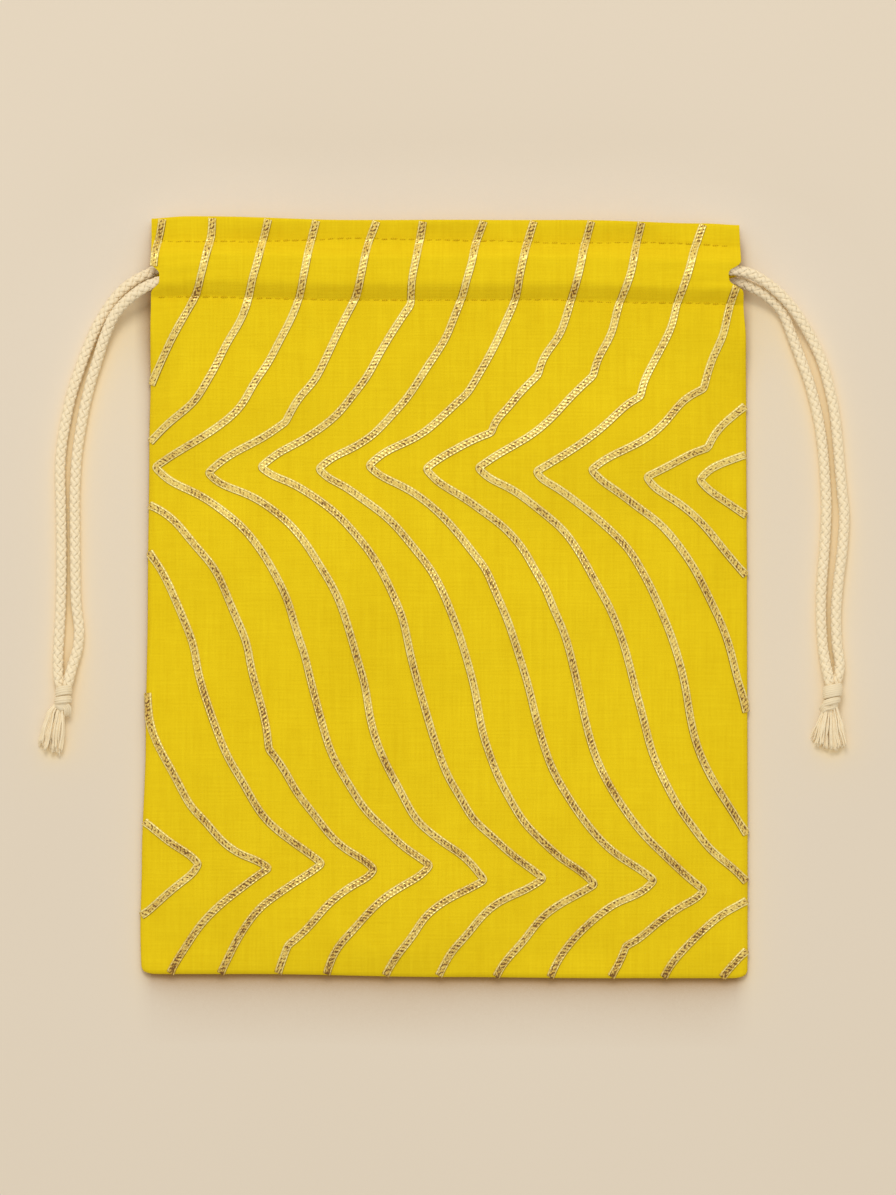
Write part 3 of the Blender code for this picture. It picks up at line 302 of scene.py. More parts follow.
# Gold lines of the front, drawn as points; CUSP marks a sharp turn
CUSP = "cusp"
FRONT_LINES = [
    [(140, 818), (144, 821), (161, 835), (176, 847), (192, 854), (198.6, 863.5), CUSP, (198.6, 872),
     (189, 876), (173, 889), (159, 901), (147, 913), (136, 920)],
    [(164, 213), (163.5, 217), (160.5, 238), (155.6, 252), (154.6, 262), (154.6, 272)],
    [(146, 676), (147.5, 689), (149, 718), (155.5, 740), (168, 763), (179, 783), (192, 809), (206, 820),
     (215, 834), (229, 847), (243.5, 856.5), (257.5, 859), (269, 868), CUSP, (260, 873), (246, 884.5),
     (229, 897), (211, 913), (197, 929), (184.5, 949), (173, 966), (167, 979)],
    [(213, 213), (213, 235), (206, 260), (199, 290), (193, 304), (183, 319), (169, 346), (158, 370),
     (148, 394)],
    [(144, 541), (149, 553), (161, 568), (172, 591), (186, 624), (195, 648), (197, 667), (203, 689),
     (210, 710), (219, 735.5), (229, 759), (242, 780), (254, 802.5), (266, 820), (281, 833), (300, 847),
     (314, 856.5), (322, 863.5), CUSP, (316, 869), (300, 879), (279, 893), (260, 907), (246, 925),
     (234, 945), (227, 960), (217, 980)],
    [(271, 213), (269, 221), (263, 243.5), (259, 262), (252, 284), (248.6, 302), (242, 321), (228, 342),
     (217, 366), (206, 384), (197, 401), (180.5, 414), (165, 427), (146, 447)],
    [(142, 501), (148, 504), (165, 512), (178, 523.5), (190, 539), (203, 554), (214, 566), (223, 584),
     (229, 600), (238, 621), (248, 645), (250, 664), (256, 686), (264, 715), (268, 737), (269, 749), CUSP,
     (283, 767), (297, 793), (315, 815), (328, 833), (340, 845), (352.6, 854), (367, 860), (374, 869), CUSP,
     (375, 876), (364, 879), (351, 886), (340, 894), (326, 906), (314, 921), (302, 934), (288, 945), CUSP,
     (283, 957.5), (275, 982)],
    [(319, 213), (317, 221), (312, 239), (305, 274), (302, 290), (298, 305), (288.5, 326), (279, 343),
     (267.5, 366), (253.5, 384), (246.5, 400), (236.6, 412.6), (217, 428), (193, 443.5), (176, 453),
     (155.5, 467), CUSP, (169, 481), (190, 490), (208.6, 500), (228, 515), (242, 526), (259, 547),
     (270, 564), (279, 581), (288, 600), (297, 632), (305, 654), (308.6, 672), (316.5, 702), (326, 737),
     (332.5, 756), (350, 786), (367, 812), (388, 831), (402, 846), (418.6, 856.5), (430, 865), CUSP,
     (427, 872), (407, 883), (386, 896), (368, 912.6), (352.6, 931), (335, 950), (324, 982)],
    [(380, 213), (378, 221), (374, 229.5), (368, 245), (365, 260), (361, 279), (359, 291), (354, 304),
     (344, 321), (331, 349), (322, 368), (314, 384), (300, 396), (289, 416), (286, 422), CUSP, (263, 438),
     (238, 450.5), (220, 462), (208.6, 473), CUSP, (217, 483), (236.6, 490), (256, 498), (276, 512),
     (291, 525), (307, 544.5), (319, 564), (330.6, 582), (341, 604), (350, 632), (357.5, 659), (365.5, 686),
     (369, 712), (375, 737), (386, 764), (400.6, 791), (416, 820), (432.6, 834), (446.6, 845), (463.5, 855),
     (476, 869), (484.5, 880), CUSP, (475, 886), (456.5, 894), (441, 903), (427, 914), (420, 922),
     (413, 936.5), (400, 950.5), (392, 962), (382, 982)],
    [(425, 213), (423.5, 221), (421, 235), (416.5, 260), (411.6, 281), (411, 305), CUSP, (403, 316.5),
     (390.5, 336), (378, 357), (368, 377), (354, 394), (338, 415), (319, 429.5), (298, 443.5), (279, 452),
     (261, 467), CUSP, (270, 476), (288.6, 481), (305, 491), (322, 502), (340, 516.5), (351, 529),
     (368, 549), (382, 571), (390.5, 589), (400, 610), (404, 621), (410, 653), (418, 683), (426, 712),
     (432.5, 734), (439, 753), (448, 777), (463, 801), (473, 820), (491.5, 835), (505.6, 849.5), (522, 862),
     (536, 872), (543.5, 878), CUSP, (536, 884.5), (521, 891.6), (501, 900), (486, 911), (475, 924),
     (463.5, 939), (449, 953), (444, 966), (434, 984)],
    [(487, 213), (484.5, 221), (477.5, 238), (474, 249), (473, 263), (469, 273), (464, 290), (461, 302),
     (452, 322), (448, 336), (438, 351.5), (430, 363), (418.6, 381), (407, 399), (392, 415), (375, 434),
     (361, 443.5), (344, 453), (333, 456), (319, 469), CUSP, (326, 479), (340, 483), (365, 501),
     (383.5, 514), (400, 530.5), (413, 547), (430, 568), (441, 588), (447, 602), (458, 630), (467.6, 662),
     (475.5, 692.5), (482, 731), (490, 755), (499, 779), (514, 806), (522, 820), (536, 835), (550, 848),
     (564, 861), (579.5, 869), (595, 884), CUSP, (582, 892), (568, 899), (550, 910), (543.5, 915),
     (533.6, 927), (522, 943.5), (510, 955), (501, 967), (492, 984)],
    [(537, 213), (534, 221), (529, 236.5), (523, 260), (518, 283), (517, 298), (510, 312), (501, 333),
     (489, 357), (475, 381), (466, 398), (458, 402), CUSP, (441, 418), (427, 431), (410, 441), (390.5, 449),
     (376.5, 457.5), (369, 466), CUSP, (374, 473), (388, 480), (404.5, 487), (420, 497), (434, 508),
     (448, 522), (463.5, 540), (475, 556), (486, 568), (493, 587), (500, 602), (509, 624), (518.6, 654),
     (528, 684.5), (536, 718), (545.7, 751.5), (555, 775), (574, 806), (584, 820), (596, 835), (612, 851),
     (628.6, 862), (645, 872), (654, 880), CUSP, (648, 889), (631, 897), (614.5, 903), (599, 915),
     (584, 928), (571, 942), (558, 960), (547, 985)],
    [(594, 213), (591, 222), (586, 239), (581, 260), (578, 279), (573, 291), (570, 304), (565, 319),
     (561, 335), (550, 348), (540.6, 361), (538, 375), CUSP, (529, 384), (514, 399), (508, 410), (493, 421),
     (491.5, 433), CUSP, (475, 439), (456.5, 449), (438, 459), (426, 469), CUSP, (431, 477), (445, 487),
     (463.5, 497), (482, 511), (500, 523.5), (514, 537.5), (526.6, 554), (536, 573), (546, 588),
     (551.6, 605), (564, 632), (572, 661), (580, 696), (587, 728), (596, 758), (610.6, 788), (626.5, 812),
     (643, 834), (659, 849.5), (673.5, 863.5), (690, 879), (704, 890), CUSP, (699, 899), (685, 903),
     (671, 913), (655, 924), (640, 939), (626, 946), CUSP, (622, 959), (606, 985)],
    [(643, 213), (641, 221), (639, 232), (634, 253), (630, 277), (623, 293), (619, 302), (614.5, 319),
     (612, 335), (602, 350), (595, 364), (593, 376), CUSP, (581, 387), (567, 401), (553, 417), (533.6, 434),
     (515, 445), (497, 455), (478, 468), CUSP, (489, 480), (503, 484), (518, 493), (532, 504), (546, 515),
     (564, 530.5), (577, 549), (588, 568), (599, 589), (606, 600), (618.6, 629), (626.5, 654), (634.5, 686),
     (642.5, 715), (652, 753), (665, 782), (677.5, 806), (693.5, 828), (710, 849.5), (727, 863.5),
     (741, 875), (752, 890)],
    [(752, 897), (745, 903), (728, 910), (713, 921), (696, 936.5), (683, 950.5), (672, 962), (660, 985)],
    [(707, 213), (703, 225), (697, 239), (692, 256), (686, 279), (682, 290), (675, 305), (673, 323.5),
     (664, 342), (655, 359), (647, 374), (641, 386), (640, 397), CUSP, (628.6, 402), (620, 411), (603, 427),
     (588, 439), (571, 450.5), (548, 464.5), (536, 471.6), CUSP, (536, 479), (550, 483), (571, 498),
     (592, 514), (612, 532), (628.6, 549), (640, 568), (651, 588), (657, 602), (669.6, 632), (679, 661),
     (685.5, 689), (690, 718), (697, 747), (709, 774), (722, 796), (736.5, 818), (752, 844)],
    [(752, 945), (745, 952), (735, 962), (716, 985)],
    [(738, 281), (734, 290), (729.6, 304), (725, 321), (724, 335), (714, 353), (708.5, 368), (703, 389),
     CUSP, (690, 395), (676, 406), (673.5, 412.6), (658, 429.5), (642.6, 441), (623, 450.5), (603, 460),
     (591, 470), CUSP, (599, 480), (617, 491), (637, 507), (658, 522), (672, 537.5), (686, 556), (697, 574),
     (708, 596), (722, 625.5), (730, 649), (736.5, 676.5), (744.5, 704), (752, 742)],
    [(752, 399), (744, 407), (729.6, 418), (713, 434), (707, 448), CUSP, (693, 452), (676, 462), (646, 477),
     CUSP, (651, 487), (671, 498), (690, 512), (707, 529), (721, 547), (735, 563), (752, 583)],
    [(752, 452), (744, 455), (725, 462), (707, 469), (699, 480), CUSP, (704, 488), (725, 501), (752, 520)],
]

# Lengths and heights that follow from the ones above and from the layers stacked on the surface
FOLD_LENGTH = HEADER + CHANNEL
BODY_LENGTH = BAG_LENGTH - HEADER - CHANNEL
CORNER_START = CORNER_RADIUS * (1.0 - math.sqrt(0.5))
BACK_OUTER = 0.45 * MM + 0.36 * MM + CLOTH / 2
LAYER_STEP = CLOTH + CLEARANCE
CORD_LIFT = CORD + CLEARANCE
BACK_CORD_HEIGHT = BACK_OUTER + CLOTH / 2 + CLEARANCE + CORD / 2
BACK_FACING_TOP = BACK_OUTER + LAYER_STEP + CORD_LIFT + CLOTH / 2
PRESS_AT_SIDE = BACK_FACING_TOP + SIDE_GAP + LAYER_STEP + CLOTH / 2
PRESS_AT_CENTRE = BACK_FACING_TOP + MOUTH_GAP + LAYER_STEP + CLOTH / 2
SEAM_TOP = BACK_OUTER + SEAM_RISE + LAYER_STEP
CHANNEL_CENTRE = LOW_LANE + LANE_STEP / 2
RIM_STEPS = [RIM_RADIUS * (1.0 - math.cos(math.radians(angle))) for angle in (0, 22, 42, 60, 76, 90)]


def smooth(share):
    """Rise from 0 to 1 with level ends."""
    share = np.clip(share, 0.0, 1.0)
    return share * share * (3.0 - 2.0 * share)


def ease(share):
    """Rise quickly from 0 and settle gently at 1."""
    return 1.0 - (1.0 - np.clip(share, 0.0, 1.0)) ** 3


def table_value(table, share):
    """Smoothly read a table of (share, millimetres) pairs."""
    share = np.asarray(share, dtype=float)
    result = np.full(share.shape, float(table[-1][1]))
    for (low, first), (high, last) in reversed(list(zip(table, table[1:]))):
        blend = smooth((share - low) / (high - low))
        result = np.where(share <= high, first + (last - first) * blend, result)
    return result * MM


def corner_cut(distance):
    """How far a rounded corner draws an edge in, this far from the corner."""
    reach = np.clip(CORNER_RADIUS - distance, 0.0, CORNER_RADIUS)
    return CORNER_RADIUS - np.sqrt(CORNER_RADIUS ** 2 - reach ** 2)


def from_side(across):
    """Distance from the nearer side edge, for a share of the width."""
    return np.minimum(across, 1.0 - across) * BAG_WIDTH


def top_edge(across):
    """Y of the mouth's edge, at this share of the width."""
    return BAG_LENGTH / 2 + table_value(TOP_WANDER, across)


def bottom_edge(across):
    """Y of the bottom edge, at this share of the width."""
    corner = corner_cut(from_side(across) + CORNER_START)
    return -BAG_LENGTH / 2 - table_value(BOTTOM_WANDER, across) + corner


def lower_stitch(across):
    """Y of the stitch row under the channel."""
    return top_edge(across) - HEADER - CHANNEL


def side_edge(front, y, side):
    """X of a side edge at this height along the pouch; the cords draw it in where they come out."""
    share = (y + BAG_LENGTH / 2) / BAG_LENGTH
    across = 0.5 + side / 2
    corner = corner_cut(y + BAG_LENGTH / 2 + table_value(BOTTOM_WANDER, across))
    slit = lower_stitch(across) + SLIT_PLACE[side]
    pull_share = 1.0 if front else BACK_PULL_SHARE
    pull = pull_share * SLIT_PULL[side] * np.exp(-((y - slit) / SLIT_REACH) ** 4)
    return side * (BAG_WIDTH / 2 + table_value(SIDE_WANDER[side], share) - corner - pull)


def channel_bulge(above_stitch):
    """Share of the cords' height by which a channel stands out, above the lower stitch row."""
    rise = np.interp(above_stitch / MM, *np.array(RAMP).T)
    fall_start = LOW_LANE + LANE_STEP + CORD / 2
    return rise * (1.0 - smooth((above_stitch - fall_start) / (CHANNEL - fall_start)))


def press_height(side_distance):
    """Height of the front outer cloth where the stitches press its layers together."""
    return PRESS_AT_SIDE + (PRESS_AT_CENTRE - PRESS_AT_SIDE) * ease(side_distance / MOUTH_ROLL)


def body_height(front, across, climb):
    """Height of the outer cloth below the channel; climb is 0 at the bottom and 1 at the stitches."""
    side_distance = from_side(across)
    length = lower_stitch(across) - bottom_edge(across)
    climb = np.clip(climb, 0.0, 1.0)
    opening = smooth(1.0 - (1.0 - climb) * length / SLIT_RAMP)
    if not front:
        return BACK_OUTER + SEAM_RISE * (1.0 - ease(3.0 * side_distance / SIDE_ROLL + opening)
                                         * ease(3.0 * climb * length / BOTTOM_ROLL))
    round_off = ease(side_distance / SIDE_ROLL) * ease(climb * length / BOTTOM_ROLL)
    edge = SEAM_TOP + (PRESS_AT_SIDE - SEAM_TOP) * opening
    middle = BODY_RISE + (press_height(side_distance) - BODY_RISE) * climb ** 1.6
    return edge + (middle - edge) * (round_off + (1.0 - round_off) * opening)


def outer_height(front, across, climb):
    """Height of the middle of the outer cloth; climb runs from 1 to 2 over channel and header."""
    body = body_height(front, across, climb)
    if not front:
        return np.where(climb <= 1.0, body, BACK_OUTER)
    bulge = channel_bulge((climb - 1.0) * FOLD_LENGTH)
    return np.where(climb <= 1.0, body, press_height(from_side(across)) + CORD_LIFT * bulge)


def facing_height(front, across, climb):
    """Height of the middle of the inner facing."""
    body = body_height(front, across, climb) + (-LAYER_STEP if front else LAYER_STEP)
    if front:
        return np.where(climb <= 1.0, body, press_height(from_side(across)) - LAYER_STEP)
    bulge = channel_bulge((climb - 1.0) * FOLD_LENGTH)
    return np.where(climb <= 1.0, body, BACK_OUTER + LAYER_STEP + CORD_LIFT * bulge)


def place_y(across, climb):
    """Y of a grid point."""
    stitch = lower_stitch(across)
    low = bottom_edge(across)
    body = low + (stitch - low) * climb
    return np.where(climb <= 1.0, body, stitch + (top_edge(across) - stitch) * (climb - 1.0))


def grid_shares(front, x, y):
    """The grid shares (across, climb) of a point in plan."""
    left = side_edge(front, y, -1)
    across = (x - left) / (side_edge(front, y, 1) - left)
    clipped = np.clip(across, 0.0, 1.0)
    stitch = lower_stitch(clipped)
    low = bottom_edge(clipped)
    above = 1.0 + (y - stitch) / (top_edge(clipped) - stitch)
    return across, np.where(y <= stitch, (y - low) / (stitch - low), above)


def row_line(row, x):
    """Y of a stitch row at x."""
    return np.interp(x, *(np.array(row).T * MM))


def make_swells(seed, shortest, longest, count):
    """Directions, lengths and phases of a set of soft swells."""
    dice = np.random.RandomState(seed)
    lengths = dice.uniform(shortest, longest, count)
    angles = dice.uniform(0.0, math.pi, count)
    return [(math.cos(a) * math.tau / n, math.sin(a) * math.tau / n, p, n / longest)
            for a, n, p in zip(angles, lengths, dice.uniform(0.0, math.tau, count))]


def swell(swells, x, y):
    """Soft unevenness between about -1 and 1."""
    total = sum(weight * np.sin(kx * x + ky * y + phase) for kx, ky, phase, weight in swells)
    return total / math.sqrt(0.5 * sum(weight ** 2 for *_, weight in swells)) / 1.6


BROAD_SWELLS = make_swells(3, 38.0 * MM, 95.0 * MM, 9)
FINE_SWELLS = make_swells(8, 9.0 * MM, 22.0 * MM, 12)
PUCKER_SWELLS = make_swells(5, 20.0 * MM, 60.0 * MM, 6)


def crease(x, y, start, end, height, width):
    """A short ridge from start to end that fades out at both."""
    x0, y0 = start[0] * MM, start[1] * MM
    along_x, along_y = end[0] * MM - x0, end[1] * MM - y0
    length = math.hypot(along_x, along_y)
    along = ((x - x0) * along_x + (y - y0) * along_y) / length ** 2
    beside = ((x - x0) * along_y - (y - y0) * along_x) / length
    fade = smooth(along / 0.25 + 0.4) * smooth((1.2 - along) / 0.7)
    return height * MM * fade * np.exp(-(beside / (width * MM)) ** 2)


def swell_height(front, x, y, across):
    """Soft swells of the cloth, calmer near its rims and under the channel's hem."""
    bottom_distance = y - bottom_edge(np.clip(across, 0, 1))
    calm = smooth(from_side(across) / RIM_CALM) * smooth(bottom_distance / RIM_CALM)
    below_facing = row_line(LOWER_ROW, x) - HEM - y
    free = smooth((below_facing - HEM_CALM_START) / HEM_CALM_LENGTH)
    calm = calm * (HEM_SWELL_SHARE + (1.0 - HEM_SWELL_SHARE) * free) * (1.0 if front else BACK_SWELL_SHARE)
    return calm * (BROAD_SWELL * swell(BROAD_SWELLS, x, y) + FINE_SWELL * swell(FINE_SWELLS, x, y))


def stitch_relief(row, depth, x, y, across):
    """Puckers and the groove along one stitch row."""
    distance = y - row_line(row, x)
    phase = x / PUCKER_LENGTH * math.tau + 3.2 * swell(PUCKER_SWELLS, x, depth)
    pucker = PUCKER_HEIGHT * np.sin(phase) * np.exp(-(distance / PUCKER_REACH) ** 2)
    dimples = 0.8 + 0.2 * np.cos(x / STITCH_PITCH * math.tau)
    groove = -depth * np.exp(-(distance / GROOVE_REACH) ** 2) * dimples
    return pucker * smooth(from_side(across) / PUCKER_RIM_CALM) + groove


def cloth_detail(front, x, y, across):
    """Small unevenness of the outer cloth: soft swells, puckers and grooves at the stitches, creases."""
    height = swell_height(front, x, y, across)
    for row, depth in ((UPPER_ROW, UPPER_GROOVE), (LOWER_ROW, LOWER_GROOVE)):
        relief = stitch_relief(row, depth, x, y, across)
        height = height + (1.0 if front else BACK_PUCKER_SHARE) * relief
    if not front:
        return -height
    for start, end, rise, width in FRONT_CREASES:
        height = height + crease(x, y, start, end, rise, width)
    return height


def header_wave(front, x, y):
    """How the loose edge of the mouth waves up and down."""
    rise = smooth((y - row_line(UPPER_ROW, x)) / HEADER)
    side_calm = smooth((BAG_WIDTH / 2 - np.abs(x)) / HEADER_CALM)
    wave = swell(PUCKER_SWELLS, 1.2 * x, 0.0)
    if front:
        return rise * (0.35 + 0.65 * side_calm) * (1.1 * wave + 1.0) * MM
    return rise * (0.35 + 0.65 * side_calm) * 0.3 * np.clip(wave, 0.0, 1.0) * MM


def turned(distance):
    """How far a rolled rim has turned down at this distance from its edge."""
    return 1.0 - np.sqrt(1.0 - (1.0 - np.clip(distance / RIM_RADIUS, 0.0, 1.0)) ** 2)


def rim_fall(front, across, climb, y):
    """How far the cloth has turned down at its seamed edges: 0 on the flat, 1 at the edge."""
    if not front:
        return 0.0 * across
    sewn = 1.0 - smooth((climb - 0.90) / 0.09)
    bottom_distance = y - bottom_edge(np.clip(across, 0.0, 1.0))
    return np.maximum(turned(from_side(across)) * sewn, turned(bottom_distance))


def outer_surface(front, x, y, across, climb):
    """Height of the middle of the outer cloth with all its detail, at known grid shares."""
    height = outer_height(front, across, climb) + cloth_detail(front, x, y, across)
    return height + header_wave(front, x, y) - RIM_DROP * rim_fall(front, across, climb, y)


def cloth_height(front, x, y):
    """Height of the middle of the outer cloth with all its detail, at a place in plan."""
    across, climb = grid_shares(front, x, y)
    return outer_surface(front, x, y, np.clip(across, 0.0, 1.0), climb)


def on_cloth(front, x, y, rise):
    """Points this far out from the middle of the outer cloth, along its normal."""
    reach = 0.25 * MM
    z = cloth_height(front, x, y)
    slope_x = (cloth_height(front, x + reach, y) - cloth_height(front, x - reach, y)) / (2 * reach)
    slope_y = (cloth_height(front, x, y + reach) - cloth_height(front, x, y - reach)) / (2 * reach)
    side = 1.0 if front else -1.0
    scale = side * rise / np.sqrt(slope_x ** 2 + slope_y ** 2 + 1.0)
    return np.stack([x - slope_x * scale, y - slope_y * scale, z + scale], axis=-1)


def channel_edge(side):
    """X of the front's side edge, level with the middle of the channel's two lanes."""
    return side_edge(True, lower_stitch(0.5 + side / 2) + CHANNEL_CENTRE, side)


def facing_end(side):
    """X of the side end of both facings."""
    return float(channel_edge(side) - side * FACING_INSET)


def add_mesh(name, points, faces, material, uvs):
    """A smooth-shaded mesh piece that rides on the pouch's body."""
    mesh = bpy.data.meshes.new(name)
    mesh.from_pydata(np.asarray(points).reshape(-1, 3).tolist(), [], faces)
    layer = mesh.uv_layers.new(name="UVMap")
    index = np.empty(len(mesh.loops), dtype=np.int32)
    mesh.loops.foreach_get("vertex_index", index)
    layer.data.foreach_set("uv", np.asarray(uvs, dtype=float).reshape(-1, 2)[index].ravel())
    mesh.shade_smooth()
    piece = bpy.data.objects.new(name, mesh)
    piece.data.materials.append(material)
    bpy.context.scene.collection.objects.link(piece)
    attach(piece, "root")
    return piece


def grid_faces(rows, columns, start=0, closed=False, looped=False):
    """Quads of a grid of points numbered from start; closed and looped join its ends across and along."""
    faces = []
    last = columns if closed else columns - 1
    for i in range(rows if looped else rows - 1):
        low = start + i * columns
        high = start + (i + 1) % rows * columns
        for k in range(last):
            n = (k + 1) % columns
            faces.append((low + k, low + n, high + n, high + k))
    return faces


def end_caps(rows, columns, start=0):
    """The two end faces of a tube whose points are numbered from start."""
    last = start + (rows - 1) * columns
    return [tuple(start + k for k in reversed(range(columns))), tuple(last + k for k in range(columns))]


def dense_curve(points, parts=24):
    """Fine points on a smooth curve through the given ones."""
    points = np.asarray(points, dtype=float)
    padded = np.vstack([points[:1], points, points[-1:]])
    t = (np.arange(parts) / parts)[:, None]
    pieces = []
    for before, start, end, after in zip(padded, padded[1:], padded[2:], padded[3:]):
        square = (2 * before - 5 * start + 4 * end - after) * t ** 2
        cube = (3 * start - before - 3 * end + after) * t ** 3
        pieces.append(0.5 * (2 * start + (end - before) * t + square + cube))
    return np.vstack(pieces + [points[-1:]])


def along_curve(dense):
    """Distance of each fine point along its curve."""
    return np.concatenate([[0.0], np.cumsum(np.linalg.norm(np.diff(dense, axis=0), axis=1))])


def even_points(points, step, parts=24):
    """Evenly spaced points on a smooth curve through the given ones."""
    dense = dense_curve(points, parts)
    lengths = along_curve(dense)
    count = max(2, round(lengths[-1] / step))
    targets = np.linspace(0.0, lengths[-1], count + 1)
    return np.stack([np.interp(targets, lengths, dense[:, i]) for i in range(dense.shape[1])], axis=-1)


def unit(vectors):
    """A row of vectors, each made one long."""
    return vectors / np.linalg.norm(vectors, axis=1)[:, None]


def curve_frames(points):
    """Unit side and up vectors along a row of points, with as little twist as possible."""
    tangents = unit(np.gradient(points, axis=0))
    sides = np.empty_like(tangents)
    guess = np.cross((0.0, 0.0, 1.0), tangents[0])
    if np.linalg.norm(guess) < 0.1:
        guess = np.array((1.0, 0.0, 0.0))
    for i, tangent in enumerate(tangents):
        guess = guess - tangent * guess.dot(tangent)
        guess /= np.linalg.norm(guess)
        sides[i] = guess
    return sides, np.cross(tangents, sides)


def framed_path(points, step, parts=24):
    """Even points on a smooth curve through a few points in millimetres, with their side and up vectors."""
    path = even_points([np.array(point) * MM for point in points], step, parts)
    return path, *curve_frames(path)


class Tubes:
    """Collects tubes of oval section in one mesh."""

    def __init__(self):
        self.points = []
        self.uvs = []
        self.faces = []
        self.count = 0

    def add(self, path, sides_of, ups_of, half_width, half_thickness, around, tapered=1.0, looped=False):
        """One tube along a path, capped or meeting its own start; its axes and half sizes may change."""
        stations = len(path)
        angles = math.tau * np.arange(around) / around
        wide = np.broadcast_to(np.asarray(half_width, dtype=float), (stations,)).copy()
        thick = np.broadcast_to(np.asarray(half_thickness, dtype=float), (stations,)).copy()
        wide[[0, -1]] *= tapered
        thick[[0, -1]] *= tapered
        ring = (sides_of[:, None, :] * (np.cos(angles)[None, :, None] * wide[:, None, None])
                + ups_of[:, None, :] * (np.sin(angles)[None, :, None] * thick[:, None, None]))
        self.points.append((path[:, None, :] + ring).reshape(-1, 3))
        u = np.broadcast_to(np.arange(around) / around, (stations, around))
        v = np.broadcast_to(along_curve(path)[:, None], (stations, around))
        self.uvs.append(np.stack([u, v], axis=-1).reshape(-1, 2))
        self.faces += grid_faces(stations, around, self.count, closed=True, looped=looped)
        if not looped:
            self.faces += end_caps(stations, around, self.count)
        self.count += stations * around

    def build(self, name, material):
        """The collected tubes as one piece."""
        return add_mesh(name, np.vstack(self.points), self.faces, material, np.vstack(self.uvs))


class Graph:
    """Short forms for building a material's nodes."""

    def __init__(self, name):
        self.material = bpy.data.materials.new(name)
        self.material.use_nodes = True
        self.tree = self.material.node_tree
        self.shader = self.tree.nodes["Principled BSDF"]

    def node(self, kind, **values):
        item = self.tree.nodes.new(kind)
        for key, value in values.items():
            setattr(item, key, value)
        return item

    def plug(self, source, target):
        if isinstance(source, (int, float)):
            target.default_value = source
        elif isinstance(source, tuple):
            target.default_value = source if len(source) == len(target.default_value) else (*source, 1.0)
        else:
            self.tree.links.new(source, target)

    def filled(self, item, values, output=0):
        """An output of a node, once its first inputs have these values."""
        for socket, value in zip(item.inputs, values):
            self.plug(value, socket)
        return item.outputs[output]

    def math(self, operation, a, b=0.0, c=0.0):
        return self.filled(self.node("ShaderNodeMath", operation=operation), (a, b, c))

    def plus(self, a, b):
        return self.math("ADD", a, b)

    def times(self, a, b, added=None):
        """a times b, and the added value if there is one."""
        if added is None:
            return self.math("MULTIPLY", a, b)
        return self.math("MULTIPLY_ADD", a, b, added)

    def uneven(self, noise, amount, added):
        """The added value, made uneven by a noise around its middle."""
        return self.times(self.math("SUBTRACT", noise, 0.5), amount, added)

    def mix(self, share, a, b):
        item = self.node("ShaderNodeMix", data_type="RGBA", blend_type="MIX")
        for number, value in ((0, share), (6, a), (7, b)):
            self.plug(value, item.inputs[number])
        return item.outputs[2]

    def level(self, value, low, high, to_low=0.0, to_high=1.0):
        return self.filled(self.node("ShaderNodeMapRange"), (value, low, high, to_low, to_high))

    def hump(self, value, rise_start, rise_end, fall_start, fall_end):
        """1 between a rise and a fall, 0 outside them."""
        rise = self.level(value, rise_start, rise_end)
        return self.times(rise, self.level(value, fall_start, fall_end, 1.0, 0.0))

    def parts(self, vector):
        item = self.node("ShaderNodeSeparateXYZ")
        self.plug(vector, item.inputs[0])
        return item.outputs

    def uv(self):
        parts = self.parts(self.node("ShaderNodeUVMap", uv_map="UVMap").outputs[0])
        return parts[0], parts[1]

    def place(self):
        return self.node("ShaderNodeTexCoord").outputs["Object"]

    def vector(self, x, y, z=0.0):
        return self.filled(self.node("ShaderNodeCombineXYZ"), (x, y, z))

    def noise(self, vector, scale, detail=3.0):
        item = self.node("ShaderNodeTexNoise")
        self.plug(vector, item.inputs["Vector"])
        self.plug(scale, item.inputs["Scale"])
        self.plug(detail, item.inputs["Detail"])
        self.plug(0.55, item.inputs["Roughness"])
        return item.outputs[0]

    def streaks(self, u, v, across, along, shift=0.0, detail=2.0):
        """Noise drawn out along one texture direction."""
        return self.noise(self.vector(self.times(u, across), self.times(v, along), shift), 1.0, detail)

    def bump(self, height, distance, strength):
        item = self.node("ShaderNodeBump")
        self.plug(strength, item.inputs["Strength"])
        self.plug(distance, item.inputs["Distance"])
        self.plug(height, item.inputs["Height"])
        self.plug(item.outputs[0], self.shader.inputs["Normal"])

    def set(self, **values):
        for key, value in values.items():
            self.plug(value, self.shader.inputs[key.replace("_", " ")])


